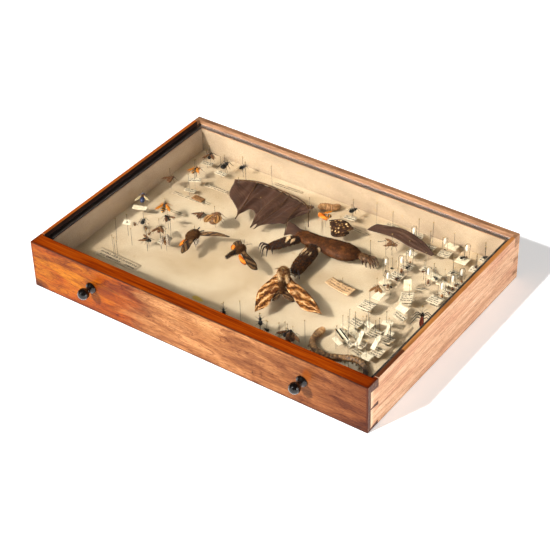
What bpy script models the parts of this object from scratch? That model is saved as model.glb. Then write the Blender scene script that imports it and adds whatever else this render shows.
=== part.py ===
"""Drawer from a collector's cabinet: a dovetailed box with a corked, paper-lined bed, a glass
lid let into its rim, two turned knobs, and mounted insects and dried specimens inside.
+X is right, -Y is the front that faces the user, +Z is up. All sizes are in metres."""

import math

import bmesh
import bpy
from mathutils import Matrix, Vector

# Driving dimensions
WIDTH = 0.430
DEPTH = 0.300  # front face to back face, without the knobs
HEIGHT = 0.059
GAP = 0.0003  # left between neighbouring pieces
OVER = 0.002  # how far a cutter runs past the face it opens

FRONT_THICK = 0.0185
SIDE_THICK = 0.011
BACK_THICK = 0.010

KNOB_BALL_RADIUS = 0.0065
KNOB_BALL_REACH = 0.0128  # ball centre, forward of the front face
KNOB_HEIGHT = 0.0315
KNOB_LEFT_X = -0.1325
KNOB_RIGHT_X = 0.138

LAP = 0.005  # wood left in front of the front tails
TAIL_FLARE = 0.0016  # how far each side of a tail spreads along its length
TAIL_SPANS = ((0.0040, 0.0270), (0.0289, 0.0496))  # lowest and highest point of each tail's end
BACK_TAIL_SPANS = ((0.0120, 0.0270), (0.0300, 0.0470))

RIM_SIDE = 0.0045  # thickness of the rim above the glass, on each side
RIM_FRONT = 0.0155
RIM_BACK = 0.0060
LEDGE_Z = 0.0500  # the rebate's ledge, under the glass
BED_STRIP_THICK = 0.0010
GLASS_THICK = 0.0020

PANEL_Z = 0.0030
PANEL_THICK = 0.0050
GROOVE_DEEP = 0.0030
CORK_THICK = 0.0101
PAPER_THICK = 0.0004
EDGE_ROUND = 0.0007

# Worked out from them
FRONT_Y = -(DEPTH - KNOB_BALL_REACH - KNOB_BALL_RADIUS) / 2
BACK_Y = FRONT_Y + DEPTH
HALF = WIDTH / 2
INNER_X = HALF - SIDE_THICK
INNER_FRONT = FRONT_Y + FRONT_THICK
INNER_BACK = BACK_Y - BACK_THICK
REBATE_X = HALF - RIM_SIDE
REBATE_FRONT = FRONT_Y + RIM_FRONT
REBATE_BACK = BACK_Y - RIM_BACK
PANEL_TOP = PANEL_Z + PANEL_THICK
CORK_Z = PANEL_TOP + GAP
FLOOR_PAPER_Z = CORK_Z + CORK_THICK + GAP
FLOOR_Z = FLOOR_PAPER_Z + PAPER_THICK  # the surface that the pins stand on
GLASS_Z = LEDGE_Z + BED_STRIP_THICK + 2 * GAP
PIN_TOP = 0.0480
WING_Z = 0.0345  # height of the wings of the pinned insects

MATERIALS = {
    "front_wood": ((0.50, 0.19, 0.05), 0.35, 0.0),
    "side_wood": ((0.72, 0.48, 0.30), 0.55, 0.0),
    "panel_wood": ((0.55, 0.38, 0.22), 0.7, 0.0),
    "cork": ((0.46, 0.30, 0.16), 0.9, 0.0),
    "lining_paper": ((0.70, 0.62, 0.46), 0.85, 0.0),
    "ebonised_wood": ((0.01, 0.008, 0.007), 0.2, 0.0),
    "black_tape": ((0.012, 0.01, 0.008), 0.7, 0.0),
    "glass": ((0.90, 0.95, 0.93), 0.03, 0.0),
    "card": ((0.80, 0.76, 0.66), 0.8, 0.0),
    "pin_steel": ((0.30, 0.28, 0.26), 0.35, 1.0),
    "moth_wing": ((0.42, 0.26, 0.14), 0.85, 0.0),
    "dark_insect": ((0.05, 0.03, 0.02), 0.5, 0.0),
    "dried_skin": ((0.14, 0.08, 0.05), 0.8, 0.0),
}


def clearScene():
    for obj in list(bpy.data.objects):
        bpy.data.objects.remove(obj, do_unlink=True)


def material(name):
    found = bpy.data.materials.get(name)
    if found:
        return found
    colour, roughness, metallic = MATERIALS[name]
    made = bpy.data.materials.new(name)
    made.use_nodes = True
    shader = made.node_tree.nodes["Principled BSDF"]
    shader.inputs["Base Color"].default_value = (*colour, 1.0)
    shader.inputs["Roughness"].default_value = roughness
    shader.inputs["Metallic"].default_value = metallic
    if name == "glass":
        shader.inputs["Transmission Weight"].default_value = 1.0
    return made


def finish(name, bm, slot, smooth=False):
    """Turns a bmesh into a named object with its material."""
    bmesh.ops.recalc_face_normals(bm, faces=bm.faces)
    mesh = bpy.data.meshes.new(name)
    bm.to_mesh(mesh)
    bm.free()
    if smooth:
        mesh.shade_smooth()
        mesh.set_sharp_from_angle(angle=math.radians(40))
    obj = bpy.data.objects.new(name, mesh)
    obj.data.materials.append(material(slot))
    bpy.context.collection.objects.link(obj)
    return obj


def prism(name, outline, direction, slot):
    """A flat outline of 3-D points, extruded by the vector direction."""
    bm = bmesh.new()
    face = bm.faces.new([bm.verts.new(point) for point in outline])
    made = bmesh.ops.extrude_face_region(bm, geom=[face])
    moved = [item for item in made["geom"] if isinstance(item, bmesh.types.BMVert)]
    bmesh.ops.translate(bm, verts=moved, vec=Vector(direction))
    return finish(name, bm, slot)


def box(name, x, y, z, slot):
    corners = ((x[0], y[0], z[0]), (x[1], y[0], z[0]), (x[1], y[1], z[0]), (x[0], y[1], z[0]))
    return prism(name, corners, (0, 0, z[1] - z[0]), slot)


def soften(obj, width, wanted):
    """Rounds the edges whose two ends both pass the test, as a plane and sandpaper would."""
    bm = bmesh.new()
    bm.from_mesh(obj.data)
    edges = [edge for edge in bm.edges if all(wanted(vert.co) for vert in edge.verts)]
    bmesh.ops.bevel(bm, geom=edges, offset=width, segments=2, profile=0.5, affect="EDGES")
    bm.to_mesh(obj.data)
    bm.free()


def cut(obj, cutter):
    """Takes the cutter's shape out of obj."""
    cutter.hide_render = True
    cutter.display_type = "WIRE"
    boolean = obj.modifiers.new("cut_" + cutter.name, "BOOLEAN")
    boolean.operation = "DIFFERENCE"
    boolean.object = cutter


def turned(name, profile, centre, axis, slot, segments=24):
    """Spins a profile of (distance along the axis, radius) points about an axis through centre."""
    bm = bmesh.new()
    turn = Vector((0, 0, 1)).rotation_difference(Vector(axis)).to_matrix().to_4x4()
    place = Matrix.Translation(centre) @ turn
    rings = []
    for along, radius in profile:
        if radius == 0:
            rings.append([bm.verts.new(place @ Vector((0, 0, along)))])
            continue
        ring = []
        for k in range(segments):
            angle = 2 * math.pi * k / segments
            point = Vector((radius * math.cos(angle), radius * math.sin(angle), along))
            ring.append(bm.verts.new(place @ point))
        rings.append(ring)
    for low, high in zip(rings, rings[1:]):
        for k in range(segments):
            corners = [low[k % len(low)], low[(k + 1) % len(low)]]
            corners += [high[(k + 1) % len(high)], high[k % len(high)]]
            bm.faces.new(list(dict.fromkeys(corners)))
    return finish(name, bm, slot, smooth=True)


def tailOutline(span, x, baseline, tip, grow):
    """One dovetail seen from the side: narrow at its baseline, wide at its tip."""
    low, high = span
    return (
        (x, baseline, low + TAIL_FLARE - grow),
        (x, tip, low - grow),
        (x, tip, high + grow),
        (x, baseline, high - TAIL_FLARE + grow),
    )


# --- the dovetailed box ---


def frontBoard():
    """The show board: full width, rebated for the glass, grooved for the bottom panel."""
    rim = REBATE_FRONT
    board = box("front_board", (-HALF, HALF), (FRONT_Y, INNER_FRONT), (0, HEIGHT), "front_wood")
    soften(board, EDGE_ROUND, lambda place: True)
    cut(board, box("front_rebate", (-REBATE_X, REBATE_X), (rim, INNER_FRONT + OVER),
                   (LEDGE_Z, HEIGHT + OVER), "front_wood"))
    cut(board, box("front_groove", (-INNER_X, INNER_X), (INNER_FRONT - GROOVE_DEEP, INNER_FRONT + OVER),
                   (PANEL_Z - GAP, PANEL_TOP + GAP), "front_wood"))
    for side in (-1, 1):
        for number, span in enumerate(TAIL_SPANS):
            start = side * (INNER_X - GAP)
            outline = tailOutline(span, start, INNER_FRONT + OVER, FRONT_Y + LAP, GAP)
            label = f"front_socket_{'left' if side < 0 else 'right'}_{number + 1}"
            cut(board, prism(label, outline, (side * (SIDE_THICK + OVER), 0, 0), "front_wood"))
    return board


def backBoard():
    """Stands on the bottom panel, between the tails of the sides."""
    low = PANEL_TOP + GAP
    board = box("back_board", (-HALF, HALF), (INNER_BACK, BACK_Y), (low, HEIGHT), "side_wood")
    soften(board, EDGE_ROUND, lambda place: place.z > LEDGE_Z)
    cut(board, box("back_rebate", (-REBATE_X, REBATE_X), (INNER_BACK - OVER, REBATE_BACK),
                   (LEDGE_Z, HEIGHT + OVER), "side_wood"))
    for side in (-1, 1):
        for number, span in enumerate(BACK_TAIL_SPANS):
            start = side * (INNER_X - GAP)
            outline = tailOutline(span, start, INNER_BACK - OVER, BACK_Y + OVER, GAP)
            label = f"back_socket_{'left' if side < 0 else 'right'}_{number + 1}"
            cut(board, prism(label, outline, (side * (SIDE_THICK + OVER), 0, 0), "side_wood"))
    return board


def sideBoard(side):
    """A side with two tails at each end, a rebate along its top and a groove along its foot."""
    name = "side_board_left" if side < 0 else "side_board_right"
    outline = [(INNER_FRONT + GAP, 0), (INNER_FRONT + GAP, TAIL_SPANS[0][0] + TAIL_FLARE)]
    for number, (low, high) in enumerate(TAIL_SPANS):
        tip = FRONT_Y + LAP + GAP
        if number:
            outline.append((INNER_FRONT + GAP, low + TAIL_FLARE))
        outline += [(tip, low), (tip, high), (INNER_FRONT + GAP, high - TAIL_FLARE)]
    outline += [(INNER_FRONT + GAP, HEIGHT), (INNER_BACK - GAP, HEIGHT)]
    for low, high in reversed(BACK_TAIL_SPANS):
        outline += [(INNER_BACK - GAP, high - TAIL_FLARE), (BACK_Y, high)]
        outline += [(BACK_Y, low), (INNER_BACK - GAP, low + TAIL_FLARE)]
    outline += [(INNER_BACK - GAP, PANEL_TOP), (BACK_Y, PANEL_TOP), (BACK_Y, 0)]
    points = [(side * INNER_X, y, z) for y, z in outline]
    board = prism(name, points, (side * SIDE_THICK, 0, 0), "side_wood")
    soften(board, EDGE_ROUND, lambda place: abs(place.x) > HALF - GAP
           and (place.z < GAP or place.z > HEIGHT - GAP))
    ends = (INNER_FRONT, INNER_BACK)
    inward = side * (INNER_X - OVER)
    cut(board, box(name + "_rebate", sorted((inward, side * REBATE_X)),
                   ends, (LEDGE_Z, HEIGHT + OVER), "side_wood"))
    cut(board, box(name + "_groove", sorted((inward, side * (INNER_X + GROOVE_DEEP))),
                   ends, (PANEL_Z - GAP, PANEL_TOP + GAP), "side_wood"))
    return board


def bottomPanel():
    """A thin panel in the grooves, tongued into the front and running out under the back."""
    wide = INNER_X + GROOVE_DEEP - GAP
    narrow = INNER_X - 2 * GAP
    step = INNER_FRONT + 2 * GAP
    tongue = INNER_FRONT - GROOVE_DEEP + GAP
    rear = INNER_BACK - 2 * GAP
    outline = (
        (-narrow, tongue), (narrow, tongue), (narrow, step), (wide, step),
        (wide, rear), (narrow, rear), (narrow, BACK_Y), (-narrow, BACK_Y),
        (-narrow, rear), (-wide, rear), (-wide, step), (-narrow, step),
    )
    points = [(x, y, PANEL_Z) for x, y in outline]
    return prism("bottom_panel", points, (0, 0, PANEL_THICK), "panel_wood")


def bed():
    """Cork and its paper on the panel, and paper up all four walls to the ledge."""
    wallX = INNER_X - GAP
    wallFront = INNER_FRONT + GAP
    wallBack = INNER_BACK - GAP
    box("cork_sheet", (-wallX, wallX), (wallFront, wallBack), (CORK_Z, CORK_Z + CORK_THICK), "cork")
    box("floor_paper", (-wallX, wallX), (wallFront, wallBack), (FLOOR_PAPER_Z, FLOOR_Z), "lining_paper")
    rise = (FLOOR_Z + GAP, LEDGE_Z - GAP)
    inX = wallX - PAPER_THICK
    span = (wallFront + PAPER_THICK + GAP, wallBack - PAPER_THICK - GAP)
    box("wall_paper_left", (-wallX, -inX), span, rise, "lining_paper")
    box("wall_paper_right", (inX, wallX), span, rise, "lining_paper")
    front = (wallFront, wallFront + PAPER_THICK)
    back = (wallBack - PAPER_THICK, wallBack)
    box("wall_paper_front", (-wallX, wallX), front, rise, "lining_paper")
    box("wall_paper_back", (-wallX, wallX), back, rise, "lining_paper")


def glazing():
    """The pane lies in the rebate, on a black strip along each ledge."""
    low = LEDGE_Z + GAP
    rise = (low, low + BED_STRIP_THICK)
    outX = REBATE_X - GAP
    outFront = REBATE_FRONT + GAP
    outBack = REBATE_BACK - GAP
    sides = (INNER_FRONT + GAP, INNER_BACK - GAP)
    box("glass_strip_left", (-outX, -INNER_X), sides, rise, "black_tape")
    box("glass_strip_right", (INNER_X, outX), sides, rise, "black_tape")
    box("glass_strip_front", (-outX, outX), (outFront, INNER_FRONT), rise, "black_tape")
    box("glass_strip_back", (-outX, outX), (INNER_BACK, outBack), rise, "black_tape")
    box("glass_pane", (-outX, outX), (outFront, outBack), (GLASS_Z, GLASS_Z + GLASS_THICK), "glass")


def knob(name, x):
    """A ball on a waisted neck, with a round collar against the front board."""
    ball = KNOB_BALL_RADIUS
    reach = KNOB_BALL_REACH
    profile = [(GAP, 0), (GAP, 0.0064), (0.0012, 0.0066), (0.0026, 0.0058), (0.0038, 0.0040)]
    profile += [(0.0050, 0.0031), (0.0062, 0.0030)]
    first = math.radians(150)
    steps = 10
    for k in range(steps):
        angle = first * (1 - k / steps)
        profile.append((reach + ball * math.cos(angle), ball * math.sin(angle)))
    profile.append((reach + ball, 0))
    turned(name, profile, (x, FRONT_Y, KNOB_HEIGHT), (0, -1, 0), "ebonised_wood", 28)


# --- what lies and stands in the drawer: places are (x, distance behind the front face) ---


def at(x, back, z=0.0):
    return Vector((x, FRONT_Y + back, z))


def plate(name, outline, z, thick, slot):
    return prism(name, [at(x, back, z) for x, back in outline], (0, 0, thick), slot)


def card(name, centre, size, turn, z, slot="card"):
    """A small oblong card or label, turned about its middle."""
    angle = math.radians(turn)
    points = []
    for across, along in ((-1, -1), (1, -1), (1, 1), (-1, 1)):
        u = across * size[0] / 2
        v = along * size[1] / 2
        x = centre[0] + u * math.cos(angle) - v * math.sin(angle)
        back = centre[1] + u * math.sin(angle) + v * math.cos(angle)
        points.append((x, back))
    return plate(name, points, z, PAPER_THICK, slot)


def rounded(name, centre, z, radii, turn, slot, segments=14, rings=8):
    """An egg-shaped body: a sphere stretched to three radii and turned flat."""
    bm = bmesh.new()
    bmesh.ops.create_uvsphere(bm, u_segments=segments, v_segments=rings, radius=1.0)
    bmesh.ops.scale(bm, vec=Vector(radii), verts=bm.verts)
    spin = Matrix.Rotation(math.radians(turn), 4, "Z")
    bmesh.ops.transform(bm, matrix=Matrix.Translation(at(*centre, z)) @ spin, verts=bm.verts)
    return finish(name, bm, slot, smooth=True)


def smoothRoute(points, steps):
    """Points along a Catmull-Rom curve through the given ones."""
    ends = [2 * points[0] - points[1], *points, 2 * points[-1] - points[-2]]
    route = []
    for a, b, c, d in zip(ends, ends[1:], ends[2:], ends[3:]):
        for k in range(steps):
            t = k / steps
            route.append(0.5 * (2 * b + (c - a) * t + (2 * a - 5 * b + 4 * c - d) * t * t
                                + (3 * b - a - 3 * c + d) * t ** 3))
    return [*route, points[-1]]


def tube(name, places, z, radius, slot):
    """A round body bent along a route that lies flat."""
    route = smoothRoute([at(x, back, z) for x, back in places], 4)
    curve = bpy.data.curves.new(name, "CURVE")
    curve.dimensions = "3D"
    curve.bevel_depth = radius
    curve.bevel_resolution = 2
    curve.use_fill_caps = True
    spline = curve.splines.new("POLY")
    spline.points.add(len(route) - 1)
    for point, place in zip(spline.points, route):
        point.co = (*place, 1.0)
    obj = bpy.data.objects.new(name, curve)
    obj.data.materials.append(material(slot))
    bpy.context.collection.objects.link(obj)
    return obj


def pin(name, x, back, low, high):
    """An insect pin: a plain shank with a small round head."""
    shank = 0.0003
    head = 0.0008
    profile = [(low, 0), (low, shank), (high - 2 * head, shank)]
    profile += [(high - 1.6 * head, head), (high - 0.5 * head, head), (high, 0)]
    turned(name, profile, at(x, back), (0, 0, 1), "pin_steel", 6)


HAWK_MOTH = (
    (0.019, 0.128), (0.026, 0.134), (0.034, 0.130), (0.042, 0.123), (0.060, 0.119), (0.076, 0.112),
    (0.096, 0.098), (0.085, 0.092), (0.072, 0.092), (0.060, 0.099), (0.048, 0.102), (0.041, 0.097),
    (0.041, 0.080), (0.037, 0.062), (0.028, 0.073), (0.021, 0.090), (0.021, 0.112),
)
ORANGE_MOTH_MIDDLE = (
    (-0.050, 0.140), (-0.046, 0.148), (-0.041, 0.142), (-0.034, 0.143), (-0.027, 0.135), (-0.010, 0.128),
    (0.000, 0.119), (-0.005, 0.115), (-0.020, 0.118), (-0.032, 0.124), (-0.040, 0.115), (-0.043, 0.128),
)
ORANGE_MOTH_LEFT = (
    (-0.102, 0.130), (-0.096, 0.137), (-0.088, 0.134), (-0.085, 0.124), (-0.090, 0.112),
    (-0.086, 0.097), (-0.092, 0.098), (-0.099, 0.109), (-0.099, 0.121),
)
BAT_WING = (
    (-0.112, 0.240), (-0.096, 0.204), (-0.082, 0.192), (-0.076, 0.181), (-0.074, 0.204), (-0.060, 0.208),
    (-0.051, 0.177), (-0.047, 0.189), (-0.042, 0.190), (-0.022, 0.205), (-0.012, 0.187), (0.004, 0.188),
    (0.008, 0.208), (-0.004, 0.228), (-0.040, 0.244), (-0.080, 0.250),
)
FAR_WING = (
    (0.010, 0.222), (0.022, 0.236), (0.060, 0.240), (0.092, 0.248), (0.070, 0.252),
    (0.052, 0.270), (0.030, 0.262), (0.008, 0.250),
)
SNAKELING = (
    (0.108, 0.084), (0.105, 0.071), (0.109, 0.059), (0.118, 0.053), (0.132, 0.051), (0.144, 0.056),
    (0.154, 0.062), (0.166, 0.063), (0.176, 0.057), (0.182, 0.047),
)
GRUB = ((-0.020, 0.262), (-0.008, 0.268), (0.000, 0.279))


def specimens():
    """The mounted insects and dried animals, each a simple solid of its own outer shape."""
    thin = 0.0016
    plate("hawk_moth", HAWK_MOTH, WING_Z, 0.0030, "moth_wing")
    plate("orange_moth_middle", ORANGE_MOTH_MIDDLE, WING_Z, thin, "moth_wing")
    plate("orange_moth_left", ORANGE_MOTH_LEFT, WING_Z, thin, "moth_wing")
    plate("bat_wing_near", BAT_WING, 0.0330, thin, "dried_skin")
    plate("bat_wing_far", FAR_WING, 0.0330, thin, "dried_skin")
    rounded("bat_body", (0.040, 0.199), 0.0290, (0.036, 0.0125, 0.0085), 2, "dried_skin", 18, 10)
    rounded("bat_foot", (0.089, 0.199), 0.0300, (0.0115, 0.0080, 0.0030), 20, "dried_skin")
    rounded("bat_forearm_left", (-0.008, 0.171), 0.0300, (0.0070, 0.0150, 0.0030), -12, "dried_skin")
    rounded("bat_forearm_right", (0.032, 0.163), 0.0245, (0.0080, 0.0240, 0.0030), 12, "dried_skin")
    rounded("cicada", (-0.094, 0.168), 0.0340, (0.0080, 0.0120, 0.0045), 12, "dark_insect")
    rounded("striped_moth", (-0.113, 0.106), 0.0330, (0.0090, 0.0045, 0.0020), -45, "moth_wing")
    rounded("wasp", (-0.155, 0.154), 0.0360, (0.0038, 0.0078, 0.0034), 12, "dark_insect")
    rounded("blue_bee", (-0.186, 0.156), 0.0380, (0.0035, 0.0062, 0.0030), 35, "dark_insect")
    rounded("ground_beetle", (-0.158, 0.121), 0.0340, (0.0030, 0.0062, 0.0026), 20, "dark_insect")
    rounded("folded_butterfly", (0.034, 0.226), 0.0400, (0.0090, 0.0045, 0.0035), -20, "dark_insect")
    tube("dried_snakeling", SNAKELING, FLOOR_Z + 0.0045, 0.0040, "dried_skin")
    tube("rear_grub", GRUB, FLOOR_Z + 0.0045, 0.0035, "dried_skin")
    rounded("long_bug", (0.187, 0.143), 0.0340, (0.0025, 0.0150, 0.0022), 25, "dark_insect")


def cards():
    """The larger labels and mounting cards; each stands a little off the bed on its pin."""
    low = FLOOR_Z + 0.0004
    card("name_label", (-0.151, 0.066), (0.056, 0.014), 0, low)
    card("pink_label", (0.080, 0.158), (0.032, 0.013), -8, low + 0.0035)
    card("card_lower", (0.121, 0.144), (0.0150, 0.0150), 0, low + 0.0020)
    card("card_middle", (0.150, 0.178), (0.0160, 0.0160), -15, low + 0.0060)
    card("card_upper", (0.183, 0.186), (0.0150, 0.0120), 0, low + 0.0080)
    card("card_edge", (0.170, 0.112), (0.0140, 0.0150), 0, low + 0.0060)


def tubes():
    """Corked glass tubes for the smallest specimens, standing in the bed at the right."""
    for number, (x, back) in enumerate(((0.108, 0.200), (0.140, 0.205), (0.176, 0.216))):
        profile = [(FLOOR_Z + GAP, 0), (FLOOR_Z + GAP, 0.0034), (0.0420, 0.0034), (0.0420, 0)]
        turned(f"specimen_tube_{number + 1}", profile, at(x, back), (0, 0, 1), "glass", 16)


def pins():
    """Bare pins, left where their insects have gone."""
    places = ((-0.150, 0.094), (-0.139, 0.092), (0.022, 0.058), (0.089, 0.072))
    for number, (x, back) in enumerate(places):
        pin(f"bare_pin_{number + 1}", x, back, FLOOR_Z + GAP, PIN_TOP - 0.004)


clearScene()
frontBoard()
backBoard()
sideBoard(-1)
sideBoard(1)
bottomPanel()
bed()
glazing()
knob("knob_left", KNOB_LEFT_X)
knob("knob_right", KNOB_RIGHT_X)
specimens()
cards()
tubes()
pins()
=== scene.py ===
import math
import bpy
import numpy as np
from mathutils import Matrix, Vector


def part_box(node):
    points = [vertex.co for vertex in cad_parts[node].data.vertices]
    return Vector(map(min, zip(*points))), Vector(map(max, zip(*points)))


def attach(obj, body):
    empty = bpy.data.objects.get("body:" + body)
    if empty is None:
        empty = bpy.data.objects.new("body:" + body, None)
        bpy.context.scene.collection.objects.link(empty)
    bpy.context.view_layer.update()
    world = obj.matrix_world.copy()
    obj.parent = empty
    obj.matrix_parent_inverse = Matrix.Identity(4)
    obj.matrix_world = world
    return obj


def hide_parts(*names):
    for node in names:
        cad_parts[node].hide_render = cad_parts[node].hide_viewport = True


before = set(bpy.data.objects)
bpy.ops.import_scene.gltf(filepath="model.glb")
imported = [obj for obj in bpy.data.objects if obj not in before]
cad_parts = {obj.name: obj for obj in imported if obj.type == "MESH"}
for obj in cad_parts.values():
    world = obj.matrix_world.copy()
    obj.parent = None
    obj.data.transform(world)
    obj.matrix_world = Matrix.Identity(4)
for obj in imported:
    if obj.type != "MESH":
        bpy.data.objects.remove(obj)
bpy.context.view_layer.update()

mm = 0.001
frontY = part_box("front_board")[0].y        # the front face; distances "back" count from here
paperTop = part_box("floor_paper")[1].z      # what the pins stand in
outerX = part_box("side_board_right")[1].x
paperZ = paperTop / mm
pinTop = 48.0                              # most pins end just under the pane
dice = np.random.default_rng(1893)


# small helpers

def linear(hexColour):
    # sRGB hex to the linear colour a shader wants.
    values = [int(hexColour[i:i + 2], 16) / 255 for i in (1, 3, 5)]
    return tuple(v / 12.92 if v <= 0.04045 else ((v + 0.055) / 1.055) ** 2.4 for v in values) + (1.0,)


class Wire:
    # One output of a node. Wires take + - * / and abs like numbers, each by a Math node; wire["X"]
    # is another output.
    def __init__(self, material, node, output=0):
        self.material, self.node, self.output = material, node, output

    def __getitem__(self, output):
        return Wire(self.material, self.node, output)

    def __iter__(self):
        # Unpacking a wire gives every output of its node in turn.
        return (self[index] for index in range(len(self.node.outputs)))

    def __add__(self, other):
        return put(self.material, "Math", self, other, operation="ADD")

    def __sub__(self, other):
        return put(self.material, "Math", self, other, operation="SUBTRACT")

    def __mul__(self, other):
        return put(self.material, "Math", self, other, operation="MULTIPLY")

    def __truediv__(self, other):
        return put(self.material, "Math", self, other, operation="DIVIDE")

    def __abs__(self):
        return put(self.material, "Math", self, operation="ABSOLUTE")


def join(material, socket, value):
    # Sets a socket to a number or hex colour, or links a wire to it.
    if isinstance(value, Wire):
        material.node_tree.links.new(value.node.outputs[value.output], socket)
    else:
        socket.default_value = linear(value) if isinstance(value, str) else value


def put(material, kind, *inputs, stops=(), **settings):
    # Adds a node: inputs fill its sockets in order, settings its named sockets and properties, stops
    # its colour ramp.
    node = material.node_tree.nodes.new("ShaderNode" + kind)
    if kind == "MapRange":
        node.interpolation_type = "SMOOTHSTEP"        # every step in these finishes is a soft one
    for socket, value in zip(node.inputs, inputs):
        join(material, socket, value)
    for key, value in settings.items():
        if key in node.inputs:
            join(material, node.inputs[key], value)
        else:
            setattr(node, key, value)
    ramp = node.color_ramp.elements if stops else []
    while len(ramp) < len(stops):
        ramp.new(0.5)
    for stop, (position, colour) in zip(ramp, stops):
        stop.position = position
        stop.color = linear(colour)
    return Wire(material, node)


def newMaterial(name):
    material = bpy.data.materials.new(name)
    material.use_nodes = True
    return material


def shade(material, bump=None, **values):
    # Sets or links the shader's sockets; bump is a height, a strength and a distance.
    socketOf = {"colour": "Base Color", "roughness": "Roughness", "ior": "IOR", "coat": "Coat Weight",
                "coatRough": "Coat Roughness", "clear": "Transmission Weight",
                "specular": "Specular IOR Level", "normal": "Normal", "glow": "Emission Color",
                "glowPower": "Emission Strength"}
    if bump:
        values["normal"] = put(material, "Bump", Height=bump[0], Strength=bump[1], Distance=bump[2])
    for key, value in values.items():
        join(material, material.node_tree.nodes["Principled BSDF"].inputs[socketOf[key]], value)
    return material


def grain(m, sizes, detail=4.0, rough=0.55, warp=0.0, turn=(0, 0, 0)):
    # Noise whose blobs measure sizes in millimetres, one for all ways or one each along x, y and z.
    sizes = sizes if isinstance(sizes, tuple) else (sizes,) * 3
    lay = put(m, "Mapping", put(m, "TexCoord")["Object"], Scale=tuple(1 / (s * mm) for s in sizes),
              Rotation=turn)
    return put(m, "TexNoise", lay, Scale=1.0, Detail=detail, Roughness=rough, Distortion=warp)


def awayFrom(m, point, stretch):
    # Distance from a point, with each axis stretched.
    offset = put(m, "VectorMath", put(m, "TexCoord")["Object"], point, operation="SUBTRACT")
    offset = put(m, "VectorMath", offset, stretch, operation="MULTIPLY")
    return put(m, "VectorMath", offset, operation="LENGTH")["Value"]


def layered(m, colour, *layers):
    # Lays tones over a colour: each layer is a share and a tone that covers, or that stains where it
    # says MULTIPLY.
    for share, tone, *blend in layers:
        colour = put(m, "MixRGB", share, colour, tone, blend_type=blend[0] if blend else "MIX")
    return colour


# wood of the box

print("wood and box finishes")

# the top, topLight and topDark tones paint the front's upward face darker and redder, as painted shade
frontLook = {
    "orange": "#BC5E08", "orangeLight": "#D88616", "orangeDark": "#A04C10", "pink": "#C0844E",
             "pinkLight": "#E2A86E",
    "pinkDark": "#905A38", "top": "#9A3802", "topLight": "#B44E08", "topDark": "#641E04", "stain": "#34150C",
    "endGrain": "#553528", "roughness": 0.4, "coat": 0.03,
}


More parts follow.
